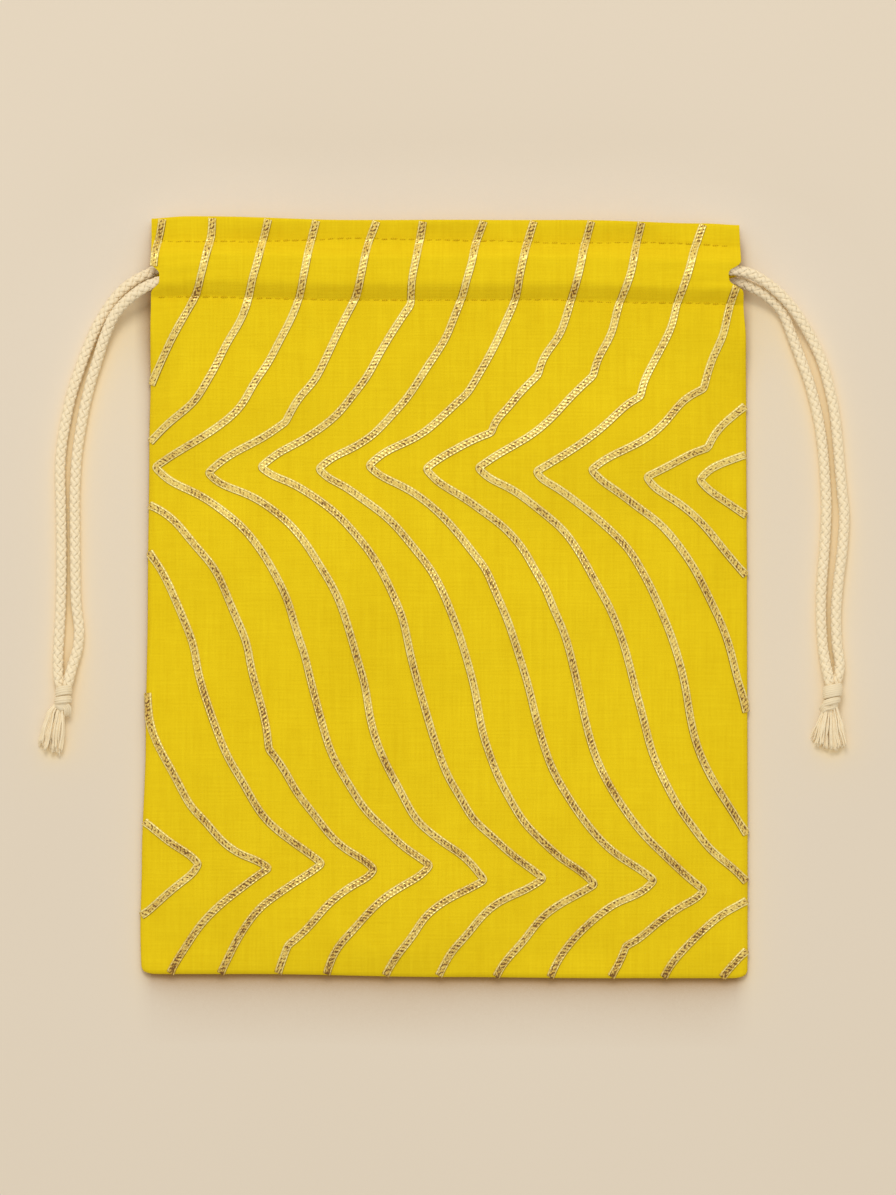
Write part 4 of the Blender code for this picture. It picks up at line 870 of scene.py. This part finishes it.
def cotton_material():
    """Plain-woven yellow cotton with slubs, soft mottling, a little fuzz and painted shade between its
    threads.
    """
    g = Graph("yellow_cotton")
    u, v = g.uv()
    warp_wave = g.math("SINE", g.times(u, math.pi / WEAVE_PITCH))
    weft_wave = g.math("SINE", g.times(v, math.pi / WEAVE_PITCH))
    weave = g.times(warp_wave, weft_wave)
    warp_threads = g.times(g.math("ABSOLUTE", warp_wave), g.level(weave, -1.0, 1.0, 0.55, 1.0))
    weft_threads = g.times(g.math("ABSOLUTE", weft_wave), g.level(weave, -1.0, 1.0, 1.0, 0.55))
    threads = g.math("MAXIMUM", warp_threads, weft_threads)
    slubs = g.plus(g.streaks(u, v, 1500.0, 70.0), g.streaks(u, v, 70.0, 1500.0, 4.0))
    tone = g.times(g.level(slubs, 0.7, 1.3), 0.43)
    for noise, amount in ((g.streaks(u, v, 520.0, 16.0, 9.0), 0.23), (g.noise(g.place(), 42.0), 0.24),
                          (g.noise(g.place(), 150.0), 0.14)):
        tone = g.times(g.level(noise, 0.3, 0.7), amount, tone)
    colour = g.mix(tone, COTTON_DEEP, COTTON_LIGHT)
    # Darker between the threads: painted shade
    colour = g.mix(g.level(threads, 0.25, 0.75, 0.22, 0.0), colour, COTTON_GAP_PAINTED_SHADE)
    g.set(Base_Color=colour, Roughness=0.9, Specular_IOR_Level=0.08)
    g.set(Sheen_Weight=0.05, Sheen_Roughness=0.5, Sheen_Tint=COTTON_SHEEN)
    g.bump(g.plus(g.times(threads, 0.55), g.times(slubs, 0.45)), 0.22 * MM, 0.55)
    return g.material


def gold_painted_light(g, patches):
    """Painted highlight and shade of the gold by its place on the pouch, made uneven by random patches."""
    y = g.parts(g.place())[1]
    # Painted highlight on the upper half and the crest, painted shade on the lower slope, mouth and hem
    shade = g.times(g.level(y, *GOLD_UPPER_PAINTED_LIGHT), 0.30, 0.03)
    shade = g.times(g.hump(y, *GOLD_CREST_PAINTED_HIGHLIGHT), 0.08, shade)
    shade = g.times(g.hump(y, *GOLD_SLOPE_PAINTED_SHADE), -0.36, shade)
    shade = g.times(g.level(y, *GOLD_MOUTH_PAINTED_SHADE), -0.30, shade)
    shade = g.times(g.level(y, *GOLD_HEM_PAINTED_SHADE, 1.0, 0.0), -0.45, shade)
    return g.uneven(patches, 1.8, shade)


def gold_material():
    """Plaited metallic thread: a pale rail at each edge, warm gold between with slanting brown gaps of
    painted shade.
    """
    g = Graph("gold_thread")
    u, v = g.uv()
    side = g.math("ABSOLUTE", g.times(u, 2.0, -1.0))
    grain = g.noise(g.place(), 1500.0, 2.0)
    # Painted highlight and shade by place; the gaps and the tones of rails and plaits follow it
    shade = gold_painted_light(g, g.noise(g.place(), 85.0, 2.0))
    slant = g.times(u, 1.3, g.times(v, 1.0 / BAND_MESH))
    plaits = g.math("COSINE", g.times(slant, math.tau))
    # Dark slanting gaps between the plaits: painted shade, more of it where the painted light is low
    gap = g.uneven(g.streaks(u, slant, 5.0, 1.45), 6.6, g.times(plaits, 0.35))
    gap = g.level(g.uneven(grain, 1.2, g.math("SUBTRACT", gap, shade)), 0.0, 0.55)
    plait_tone = g.level(g.plus(grain, g.times(shade, 0.3)), 0.3, 0.75)
    rail_tone = g.level(g.plus(grain, g.times(shade, 0.25)), 0.28, 0.62)
    rail = g.times(g.level(side, 0.56, 0.66), g.level(gap, 0.0, 1.0, 1.0, 0.72))
    colour = g.mix(gap, g.mix(plait_tone, PLAIT_DEEP, PLAIT_LIGHT), PLAIT_GAP_PAINTED_SHADE)
    colour = g.mix(rail, colour, g.mix(rail_tone, RAIL_DEEP, RAIL_LIGHT))
    # Darker groove between each rail and the plaits: painted shade
    colour = g.mix(g.times(g.hump(side, 0.48, 0.57, 0.57, 0.66), 0.6), colour, RAIL_GROOVE_PAINTED_SHADE)
    # Painted shadow along the band's outer edge where it faces away from the window
    facing = g.parts(g.node("ShaderNodeTexCoord").outputs["Normal"])
    shaded = g.level(facing[1], -0.20, 0.20, 1.0, 0.15)
    colour = g.mix(g.times(g.level(side, 0.83, 0.92, 0.0, 0.97), shaded), colour, RAIL_PAINTED_SHADOW)
    g.set(Base_Color=colour, Metallic=0.35, Roughness=0.30)
    g.bump(g.plus(plaits, grain), 0.10 * MM, 0.5)
    return g.material


def cream_material(name, fibre_lines, tone):
    """Soft cream cotton yarn with fibres along it."""
    g = Graph(name)
    u, v = g.uv()
    fibres = g.streaks(u, v, fibre_lines, 500.0, detail=3.0)
    fuzz = g.noise(g.place(), 1100.0, 2.0)
    mottle = g.noise(g.place(), 150.0, 2.0)
    shades = (CREAM_DEEP, CREAM_LIGHT, CREAM_WARM)
    dark, light, warm = (tuple(tone * part for part in shade) for shade in shades)
    colour = g.mix(g.level(fibres, 0.3, 0.7), dark, light)
    colour = g.mix(g.level(mottle, 0.3, 0.7, 0.0, 0.35), colour, warm)
    g.set(Base_Color=colour, Roughness=0.85, Specular_IOR_Level=0.25)
    g.set(Sheen_Weight=0.2, Sheen_Roughness=0.5, Sheen_Tint=CREAM_SHEEN)
    g.bump(g.plus(g.times(fibres, 0.9), g.times(fuzz, 0.1)), 0.14 * MM, 0.6)
    return g.material


def thread_material():
    """Yellow sewing thread, with painted shade in the grooves of its twist."""
    g = Graph("yellow_thread")
    u, v = g.uv()
    twist = g.math("SINE", g.times(u, math.tau, g.times(v, math.tau / THREAD_TWIST)))
    # Darker in the grooves of the twist: painted shade
    colour = g.mix(g.level(twist, -1.0, 1.0), THREAD_GROOVE_PAINTED_SHADE, THREAD_LIGHT)
    g.set(Base_Color=colour, Roughness=0.85, Specular_IOR_Level=0.1)
    g.bump(twist, 0.08 * MM, 0.6)
    return g.material


def shelter(g, reach, normal):
    """How open the floor is towards this direction, up to this reach."""
    item = g.node("ShaderNodeAmbientOcclusion", samples=12)
    g.plug(reach, item.inputs["Distance"])
    g.plug(g.vector(*normal), item.inputs["Normal"])
    return item.outputs["AO"]


def floor_material():
    """Pale plain floor; painted shadow, warm and dark close under the pouch and warm under the cords;
    painted light by the window.
    """
    g = Graph("pale_floor")
    close = shelter(g, 0.024, (-0.10, 0.92, 0.37))
    by_window = shelter(g, 0.030, (0.0, -0.35, 0.94))
    pale = g.mix(g.noise(g.place(), 3.0, 2.0), FLOOR_DEEP, FLOOR_LIGHT)
    # Painted light: paler floor on the window's side of the pouch, where the pouch shelters it
    pale = g.mix(g.level(by_window, 0.45, 1.0), FLOOR_PAINTED_WINDOW_LIGHT, pale)
    beside = g.level(g.math("ABSOLUTE", g.parts(g.place())[0]), *FLOOR_BESIDE)
    # Painted shadow on the floor where the pouch and the cords shelter it
    painted_pouch_shadow = g.mix(g.level(close, 0.50, 0.97), FLOOR_PAINTED_POUCH_SHADOW, pale)
    painted_cord_shadow = g.mix(g.level(close, 0.30, 0.97), FLOOR_PAINTED_CORD_SHADOW, pale)
    g.set(Base_Color=g.mix(beside, painted_pouch_shadow, painted_cord_shadow), Roughness=0.95, Specular_IOR_Level=0.2)
    return g.material


def add_camera():
    """A camera straight above the pouch that frames it as the photograph does."""
    data = bpy.data.cameras.new("camera")
    data.sensor_fit = "VERTICAL"
    data.sensor_height = 24.0
    data.lens = data.sensor_height * (CAMERA_PLACE[2] - SHARP_HEIGHT) / (PHOTO_HEIGHT * PIXEL)
    data.clip_start = 0.01
    camera = bpy.data.objects.new("camera", data)
    camera.location = CAMERA_PLACE
    bpy.context.scene.collection.objects.link(camera)
    bpy.context.scene.camera = camera


def strand_point(x, lane, in_front):
    """A point on a strand inside a channel."""
    across = (x + BAG_WIDTH / 2) / BAG_WIDTH
    y = float(lower_stitch(across)) + lane
    side_distance = from_side(float(grid_shares(True, x, y)[0]))
    front_height = float(press_height(side_distance)) - LAYER_STEP + CLOTH / 2 + CLEARANCE + CORD / 2
    return np.array((x, y, front_height if in_front else BACK_CORD_HEIGHT))


def run_end_x(side):
    """X at which the strands that come out at this side meet their tails."""
    return float(channel_edge(side) - side * (RUN_END_INSET - CORD))


def strand_lane(side, in_front):
    """Height above the lower stitches at which a side's cord runs in one channel."""
    return LOW_LANE if (side < 0) == in_front else LOW_LANE + LANE_STEP


def add_braid(name, path, material, step, around, pinch=0.0):
    """A round eight-strand braid along a fine, evenly spaced path; its last millimetres may be pinched."""
    tubes = Tubes()
    stations = even_points(path, step, parts=4)
    sides, ups = curve_frames(stations)
    lengths = along_curve(stations)
    full = 1.0 - pinch * smooth((lengths - lengths[-1] + PINCH_LENGTH) / PINCH_LENGTH)
    tubes.add(stations, sides, ups, CORE_RADIUS * full, CORE_RADIUS * full, 8, tapered=0.6)
    middle = CORD / 2 - STRAND_HALF_THICKNESS - BRAID_WEAVE
    turned_by = math.tau * lengths / BRAID_LAY
    for hand in (1.0, -1.0):
        radius = middle + hand * BRAID_WEAVE * np.cos(4.0 * turned_by)
        for strand in range(4):
            angle = hand * turned_by + strand * math.pi / 2
            outward = sides * np.cos(angle)[:, None] + ups * np.sin(angle)[:, None]
            centre = stations + outward * (radius * full)[:, None]
            beside = np.cross(outward, unit(np.gradient(centre, axis=0)))
            half_width = STRAND_HALF_WIDTH * full
            tubes.add(centre, beside, outward, half_width, STRAND_HALF_THICKNESS, around, tapered=0.5)
    return tubes.build(name, material)


def tail_path(side, in_front, route):
    """Fine points of a free tail, from where its strand ends inside the slit to the knot."""
    lane = strand_lane(side, in_front)
    run_end = strand_point(run_end_x(side), lane, in_front)
    outward = run_end - strand_point(run_end_x(side) - side * CORD, lane, in_front)
    outward /= np.linalg.norm(outward)
    start = run_end + outward * CLEARANCE
    points = [start] + [np.array(point) * MM for point in route]
    return even_points(points, 0.5 * MM)


def run_path(side):
    """Fine points of a cord inside both channels, round the facings at its far side."""
    turn_x = facing_end(-side) + side * CLEARANCE
    start_x = run_end_x(side)
    shares = np.linspace(0.0, 1.0, 14)
    front_lane, back_lane = strand_lane(side, True), strand_lane(side, False)
    front = [strand_point(start_x + (turn_x - start_x) * share, front_lane, True) for share in shares]
    back = [strand_point(turn_x + (start_x - turn_x) * share, back_lane, False) for share in shares]
    middle = (front[-1] + back[0]) / 2
    reach = front[-1] - middle
    outward = np.array((-side * np.linalg.norm(reach), 0.0, 0.0))
    angles = [math.pi * i / 8 for i in range(1, 8)]
    bend = [middle + reach * math.cos(angle) + outward * math.sin(angle) for angle in angles]
    return even_points(front + bend + back, 0.8 * MM)


def add_wrap(tubes, centre, half_size, tilt, turns, yarn, gap):
    """Parallel yarns wound once round the cords: closed loops side by side along Y, in millimetres."""
    angles = math.tau * np.arange(WRAP_STATIONS) / WRAP_STATIONS
    level, upright = np.cos(angles), np.sin(angles)
    gap = gap * MM
    yarn = yarn * MM
    for turn in range(turns):
        offset = (turn - (turns - 1) / 2) * gap
        squeeze = 1.0 - WRAP_SQUEEZE * (2.0 * abs(offset) / (turns * gap)) ** 2
        x = centre[0] * MM + half_size[0] * MM * squeeze * level
        z = centre[2] * MM + half_size[1] * MM * squeeze * upright
        y = centre[1] * MM - offset + tilt[0] * MM * level + tilt[1] * MM * upright
        path = np.stack([x, y, z], axis=-1)
        heading = unit(np.roll(path, -1, axis=0) - np.roll(path, 1, axis=0))
        outward = np.stack([level, 0.0 * angles, upright], axis=-1)
        outward = unit(outward - heading * (outward * heading).sum(axis=1)[:, None])
        tubes.add(path, np.cross(heading, outward), outward, yarn * 1.08, yarn, 8, looped=True)


def add_knot(name, node, side, material):
    """A knot: the cord wound round both strands, with one lobe tucked in below."""
    tubes = Tubes()
    for wrap in KNOT_WRAPS[side]:
        add_wrap(tubes, *wrap)
    path, sides, ups = framed_path(KNOT_LOBES[side], 0.4 * MM)
    fullness = np.sin(np.linspace(0.25, math.pi - 0.25, len(path))) ** 0.5
    for number in range(LOBE_YARNS):
        spread = (number - (LOBE_YARNS - 1) / 2) * LOBE_YARN_GAP * MM
        wide, thick = (half * fullness for half in LOBE_YARN)
        tubes.add(path + sides * spread, sides, ups, wide, thick, 8, tapered=0.6)
    path, sides, ups = framed_path(KNOT_HEARTS[side], 0.8 * MM)
    tubes.add(path, sides, ups, *HEART, 12, tapered=0.7)
    knot = tubes.build(name, material)
    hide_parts(node)
    return knot


def add_yarn(tubes, dice, deep, start, end, bow):
    """One soft yarn of a lock, from inside the knot to its own tip near the lock's end."""
    jitter = dice.normal(0.0, YARN_JITTER, 3)
    tip_height = max(LOWEST_TIP, end[2] + abs(jitter[2]) * 1.3)
    tip = np.array((end[0] + jitter[0] * 1.25, end[1] + jitter[1] * 1.3, tip_height))
    root = start + np.array((jitter[0] * 0.5, 0.0, jitter[2] * 1.5))
    middle = root * 0.5 + tip * 0.5 + np.array((bow + jitter[1] * 0.5, 0.0, 0.9))
    first = root * 0.8 + tip * 0.2 + np.array((0.4 * bow, 0.0, 0.35))
    last = root * 0.2 + tip * 0.8 + np.array((0.45 * bow + dice.uniform(-0.3, 0.3), 0.0, 0.3))
    path, sides, ups = framed_path((deep + 0.4 * jitter, root, first, middle, last, tip), 0.9 * MM, parts=6)
    radius = dice.uniform(0.22, 0.33) * MM
    tubes.add(path, sides, ups, radius, radius, 6, tapered=0.6)


def add_tassel(name, node, side, material):
    """The frayed ends under a knot: locks of yarn that come out of it and fan out, in two bundles."""
    root_place, neck, neck_half, ends, groove, seed = TASSELS[side]
    dice = np.random.RandomState(seed)
    tubes = Tubes()
    for lock in range(LOCKS):
        share = (lock + 0.5) / LOCKS + dice.uniform(-0.02, 0.02)
        share += groove * math.copysign(0.5, share - 0.5) * (1.0 - 2.0 * abs(share - 0.5))
        start = np.array((neck[0] + (share - 0.5) * 2 * neck_half, neck[1], neck[2]))
        end_x = np.interp(share, [0.0, 0.5, 1.0], [end[0] for end in ends])
        end_y = np.interp(share, [0.0, 0.5, 1.0], [end[1] for end in ends]) + dice.uniform(-0.8, 0.8)
        end = (end_x, end_y, TIP_HEIGHTS[lock % len(TIP_HEIGHTS)])
        bow = dice.uniform(-0.6, 0.6)
        deep = np.array((root_place[0] + (share - 0.5) * ROOT_WIDTH, root_place[1], root_place[2]))
        for _ in range(YARNS_IN_A_LOCK):
            add_yarn(tubes, dice, deep, start, end, bow)
    tassel = tubes.build(name, material)
    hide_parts(node)
    return tassel


def add_cords(braid, yarn, ends):
    """Both drawcords: braided tails with their knots and tassels, and the runs inside the channels."""
    for side, word in ((-1, "left"), (1, "right")):
        knot = add_knot(f"{word}_knot_wraps", f"{word}_knot", side, yarn)
        tassel = add_tassel(f"{word}_tassel_yarns", f"{word}_tassel", side, ends)
        for node, in_front, route in TAILS[side]:
            path = tail_path(side, in_front, route)
            braided = add_braid(f"{node}_braid", path, braid, 0.62 * MM, 6, pinch=0.30)
            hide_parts(node)
        run = add_braid(f"{word}_run_braid", run_path(side), braid, 1.3 * MM, 4)
        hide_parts(f"{word}_cord_run")


def panel_columns(front):
    """Shares of the width at which a panel has its columns: closer at the rims."""
    near = [step / BAG_WIDTH for step in RIM_STEPS]
    if not front:
        near = near[::2]
    middle = np.linspace(near[-1], 1.0 - near[-1], 186 if front else 96)
    return np.concatenate([near[:-1], middle, [1.0 - share for share in reversed(near[:-1])]])


def outer_climbs(front):
    """Climb values of a panel's outer rows, closer at the bottom rim and at the stitches."""
    near = [step / BODY_LENGTH for step in RIM_STEPS]
    stitch_start = 1.0 - 12.0 * MM / BODY_LENGTH
    body = np.linspace(near[-1], stitch_start, 84 if front else 50)
    upper = np.linspace(stitch_start, 1.0, 18 if front else 6)
    mouth = 2.0 - (CLOTH / 2 + LAYER_STEP / 2) / FOLD_LENGTH
    over = np.linspace(1.0, mouth, 44 if front else 14)
    return np.concatenate([near[:-1], body, upper[1:], over[1:]])


def facing_climbs(front):
    """Climb values of a panel's facing rows, from the fold down to the hem's end."""
    hem = HEM / BODY_LENGTH
    return np.concatenate([np.linspace(1.97, 1.0, 16 if front else 12), [1.0 - hem / 2, 1.0 - hem]])


def outer_row(front, columns, climb):
    """Points of one row of a panel's outer layer."""
    climbs = np.full(columns.shape, climb)
    y = place_y(columns, climbs)
    left = side_edge(front, y, -1)
    x = left + (side_edge(front, y, 1) - left) * columns
    return np.stack([x, y, outer_surface(front, x, y, columns, climbs)], axis=-1)


def fold_row(front, last_outer, angle):
    """Points of one row on the fold at the mouth, turned by an angle from the last outer row."""
    radius = LAYER_STEP / 2
    turn = -1.0 if front else 1.0
    lift = radius * (1.0 - math.cos(math.radians(angle)))
    y = last_outer[:, 1] + radius * math.sin(math.radians(angle))
    return np.stack([last_outer[:, 0], y, last_outer[:, 2] + turn * lift], axis=-1)


def facing_row(front, columns, climb, before):
    """Points of one row of a panel's facing; next to the fold it stays below the row before it."""
    climbs = np.full(columns.shape, climb)
    y = np.minimum(place_y(columns, climbs), before[:, 1] if climb > 1.9 else 1.0)
    share = min(1.0, (2.0 - climb) * FOLD_LENGTH / HEADER)
    left = side_edge(front, y, -1) * (1.0 - share) + facing_end(-1) * share
    right = side_edge(front, y, 1) * (1.0 - share) + facing_end(1) * share
    x = left + (right - left) * columns
    across = grid_shares(front, x, y)[0]
    z = facing_height(front, across, climbs) + header_wave(front, x, y)
    if front:
        z = z + np.minimum(cloth_detail(front, x, y, np.clip(across, 0.0, 1.0)), 0.0)
    return np.stack([x, y, z], axis=-1)


def add_panel(name, node, front, material):
    """One cloth: outer layer, fold at the mouth and inner facing, as one sheet with its thickness."""
    columns = panel_columns(front)
    rows = [outer_row(front, columns, climb) for climb in outer_climbs(front)]
    lengths = [float(row[len(row) // 2, 1]) for row in rows]
    last_outer = rows[-1]
    for angle in FOLD_ANGLES:
        rows.append(fold_row(front, last_outer, angle))
        lengths.append(lengths[-1] + FOLD_TEXTURE_STEP)
    for climb in facing_climbs(front):
        rows.append(facing_row(front, columns, climb, rows[-1]))
        lengths.append(lengths[-1] + FACING_TEXTURE_STEP)
    points = np.stack(rows)
    uvs = np.stack([points[:, :, 0], np.broadcast_to(np.array(lengths)[:, None], points.shape[:2])], axis=-1)
    faces = grid_faces(points.shape[0], points.shape[1])
    if not front:
        faces = [face[::-1] for face in faces]
    panel = add_mesh(name, points, faces, material, uvs)
    solidify = panel.modifiers.new("Thickness", "SOLIDIFY")
    solidify.thickness = CLOTH
    solidify.offset = 0.0
    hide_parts(node)
    return panel


def split_limbs(line):
    """The limbs of a drawn line, in metres; each cusp ends one and starts the next."""
    limbs = [[]]
    for point in line:
        if point == CUSP:
            limbs.append([limbs[-1][-1]])
        else:
            limbs[-1].append(((point[0] - CENTRE_PIXEL[0]) * PIXEL, (CENTRE_PIXEL[1] - point[1]) * PIXEL))
    return [np.array(limb) for limb in limbs]


def back_limbs(left_cusp, right_cusp):
    """The three limbs of a gold line of the back, mirrored from the front's side."""
    left, right = np.array(left_cusp), np.array(right_cusp)
    stretch = (right - left) / np.array(MIDDLE_LIMB[-1])
    middle = left + np.array(MIDDLE_LIMB) * stretch
    limbs = (left + np.array(UPPER_LIMB), middle, right + np.array(LOWER_LIMB))
    return [limb * np.array((-1.0, 1.0)) * MM for limb in limbs]


def edge_distance(front, x, y):
    """Distance of points in plan from the nearest edge of the cloth; negative outside."""
    across = grid_shares(front, x, y)[0]
    width = side_edge(front, y, 1) - side_edge(front, y, -1)
    side = np.minimum(across, 1.0 - across) * width
    clipped = np.clip(across, 0.0, 1.0)
    return np.minimum(side, np.minimum(top_edge(clipped) - y, y - bottom_edge(clipped)))


def softened(points, reach, step):
    """A row of evenly spaced points with its wiggles shorter than the reach smoothed; its ends stay."""
    count = max(1, int(3 * reach / step))
    count = min(count, len(points) - 1)
    weights = np.exp(-0.5 * (np.arange(-count, count + 1) * step / reach) ** 2)
    weights /= weights.sum()
    before = 2 * points[0] - points[count:0:-1]
    after = 2 * points[-1] - points[-2:-count - 2:-1]
    padded = np.vstack([before, points, after])
    return np.stack([np.convolve(column, weights, mode="valid") for column in padded.T], axis=-1)


def fine_line(limbs, step):
    """Evenly spaced points of a line in plan, smooth along its limbs and just rounded at its cusps."""
    points = np.empty((0, 2))
    for limb in limbs:
        fine = softened(even_points(limb, step), LIMB_SOFTNESS, step)
        points = np.vstack([points[:-1], fine])
    return even_points(softened(points, CUSP_SOFTNESS, step), step, parts=4)


def runs_inside(front, points, inset):
    """First and last index of each stretch of a line that lies on the cloth."""
    flags = edge_distance(front, points[:, 0], points[:, 1]) > inset
    changes = np.flatnonzero(np.diff(np.concatenate([[0], flags.astype(int), [0]])))
    return list(zip(changes[::2], changes[1::2] - 1))


def gathered_offsets(heading, travelled):
    """How far each column of a gold strip lies beside its line: gathered on the inside of a bend."""
    bend = np.gradient(np.unwrap(np.arctan2(heading[:, 1], heading[:, 0])), travelled)
    radius = BAND_BEND_SHARE / np.maximum(np.abs(bend), 1.0)
    offsets = STRIP_SHARES[None, :] * (BAND_WIDTH / 2) * np.ones((len(heading), 1))
    inner = np.sign(offsets) == np.sign(bend)[:, None]
    return np.where(inner, np.sign(offsets) * np.minimum(np.abs(offsets), radius[:, None]), offsets)


def strip_relief(travelled):
    """Height of the plaits between the rails and of the beads on them, along a gold strip."""
    from_middle = np.abs(STRIP_SHARES)
    middle = np.clip(1.0 - from_middle / 0.6, 0.0, 1.0)[None, :] ** 0.5
    plaits = np.cos(math.tau * (travelled[:, None] / BAND_MESH + 0.8 * STRIP_SHARES[None, :]))
    rails = np.exp(-((from_middle - 0.76) / 0.2) ** 2)[None, :]
    beads = np.cos(math.tau * travelled / (0.8 * BAND_MESH))[:, None]
    return BAND_RELIEF * (plaits * middle + 0.3 * beads * rails)


def add_gold_line(name, node, front, points, material):
    """One line of plaited thread: a strip with a rail at each edge and plaits between."""
    travelled = along_curve(points)
    heading = unit(np.gradient(points, travelled, axis=0))
    offsets = gathered_offsets(heading, travelled)
    plan_x = points[:, 0, None] - heading[:, 1, None] * offsets
    plan_y = points[:, 1, None] + heading[:, 0, None] * offsets
    top = on_cloth(front, plan_x, plan_y, CLOTH / 2 + STRIP_HEIGHTS[None, :] * MM + strip_relief(travelled))
    ends = [0, -1]
    under = on_cloth(front, plan_x[:, ends], plan_y[:, ends], CLOTH / 2 - BAND_SUNK)
    rings = np.concatenate([top, under[:, ::-1]], axis=1)
    u = np.concatenate([(STRIP_SHARES + 1.0) / 2.0, [1.0, 0.0]])
    size = rings.shape[:2]
    uvs = np.stack([np.broadcast_to(u, size), np.broadcast_to(travelled[:, None], size)], axis=-1)
    faces = grid_faces(*size, closed=True) + end_caps(*size)
    if front:
        faces = [face[::-1] for face in faces]
    line = add_mesh(name, rings, faces, material, uvs)
    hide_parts(node)


def add_gold_lines(material):
    """All gold lines of both cloths."""
    for number, route in enumerate(FRONT_LINES, start=1):
        points = fine_line(split_limbs(route), FRONT_STEP)
        start, end = max(runs_inside(True, points, FRONT_INSET), key=lambda run: run[1] - run[0])
        name = f"gold_line_{number:02d}"
        add_gold_line(name, f"front_wave_{number:02d}", True, points[start:end + 1], material)
    number = 0
    for left_cusp, right_cusp in BAND_CUSPS:
        points = fine_line(back_limbs(left_cusp, right_cusp), BACK_STEP)
        for start, end in runs_inside(False, points, BACK_INSET):
            if (end - start) * BACK_STEP < SHORTEST_BACK_LINE:
                continue
            number += 1
            name = f"gold_back_line_{number:02d}"
            add_gold_line(name, f"back_wave_{number:02d}", False, points[start:end + 1], material)


def add_stitches(name, front, row, material):
    """One row of machine stitches, each a short thread that dips into the cloth at both ends."""
    tubes = Tubes()
    first = row[0][0] * MM + STITCH_ROW_INSET
    last = row[-1][0] * MM - STITCH_ROW_INSET
    dice = np.random.RandomState(21 if front else 22)
    shares = np.linspace(0.0, 1.0, 7)
    for number in range(int((last - first) / STITCH_PITCH)):
        x = first + number * STITCH_PITCH + shares * STITCH_PITCH * STITCH_SHARE
        y = row_line(row, x) + dice.uniform(-0.16, 0.16) * MM + (shares - 0.5) * dice.uniform(-0.1, 0.5) * MM
        rise = CLOTH / 2 + (-0.30 + dice.uniform(0.24, 0.46) * np.sin(math.pi * shares) ** 0.5) * MM
        path = on_cloth(front, x, y, rise)
        ups = np.broadcast_to(np.array((0.0, 0.0, 1.0 if front else -1.0)), path.shape)
        tangents = unit(np.gradient(path, axis=0))
        sides = unit(np.cross(tangents, ups))
        tubes.add(path, sides, np.cross(sides, tangents), STITCH_THREAD, STITCH_THREAD * 0.8, 6)
    return tubes.build(name, material)


def add_stitch_rows(word, front, material):
    """Both stitch rows of one cloth."""
    return [add_stitches(f"{word}_upper_stitches", front, UPPER_ROW, material),
            add_stitches(f"{word}_lower_stitches", front, LOWER_ROW, material)]


def add_window():
    """A large soft lamp that looks at the pouch."""
    data = bpy.data.lights.new("window", "AREA")
    data.shape = "SQUARE"
    data.size = WINDOW_SIZE
    data.energy = WINDOW_POWER
    data.color = WINDOW_COLOUR
    lamp = bpy.data.objects.new("window", data)
    lamp.location = WINDOW_PLACE
    x, y, z = WINDOW_PLACE
    tilt = math.acos(z / np.linalg.norm(WINDOW_PLACE))
    lamp.rotation_euler = (tilt, 0.0, math.atan2(y, x) + math.pi / 2)
    bpy.context.scene.collection.objects.link(lamp)


def add_floor():
    """The pale floor."""
    mesh = bpy.data.meshes.new("floor")
    corners = [(x * FLOOR_REACH, y * FLOOR_REACH, 0.0) for x, y in ((-1, -1), (1, -1), (1, 1), (-1, 1))]
    mesh.from_pydata(corners, [], [(0, 1, 2, 3)])
    floor = bpy.data.objects.new("floor", mesh)
    floor.data.materials.append(floor_material())
    bpy.context.scene.collection.objects.link(floor)


def add_sky():
    """An even sky."""
    world = bpy.data.worlds.new("sky")
    bpy.context.scene.world = world
    world.use_nodes = True
    background = world.node_tree.nodes["Background"]
    background.inputs["Color"].default_value = SKY_COLOUR
    background.inputs["Strength"].default_value = SKY_STRENGTH
    bpy.context.scene.view_settings.view_transform = "Standard"


def build_scene():
    """The whole scene."""
    add_camera()
    cotton = cotton_material()
    thread = thread_material()
    # The knots' yarn is the braid's cream made darker, the tassels' ends a little paler
    add_cords(cream_material("cream_braid", 9.0, 0.98), cream_material("cream_yarn", 7.0, 0.91),
              cream_material("cream_ends", 7.0, 1.0))
    front = add_panel("front_cloth", "front_panel", True, cotton)
    back = add_panel("back_cloth", "back_panel", False, cotton)
    rows = add_stitch_rows("front", True, thread)
    back_rows = add_stitch_rows("back", False, thread)
    add_gold_lines(gold_material())
    add_floor()
    add_window()
    add_sky()


build_scene()
bpy.context.view_layer.update()
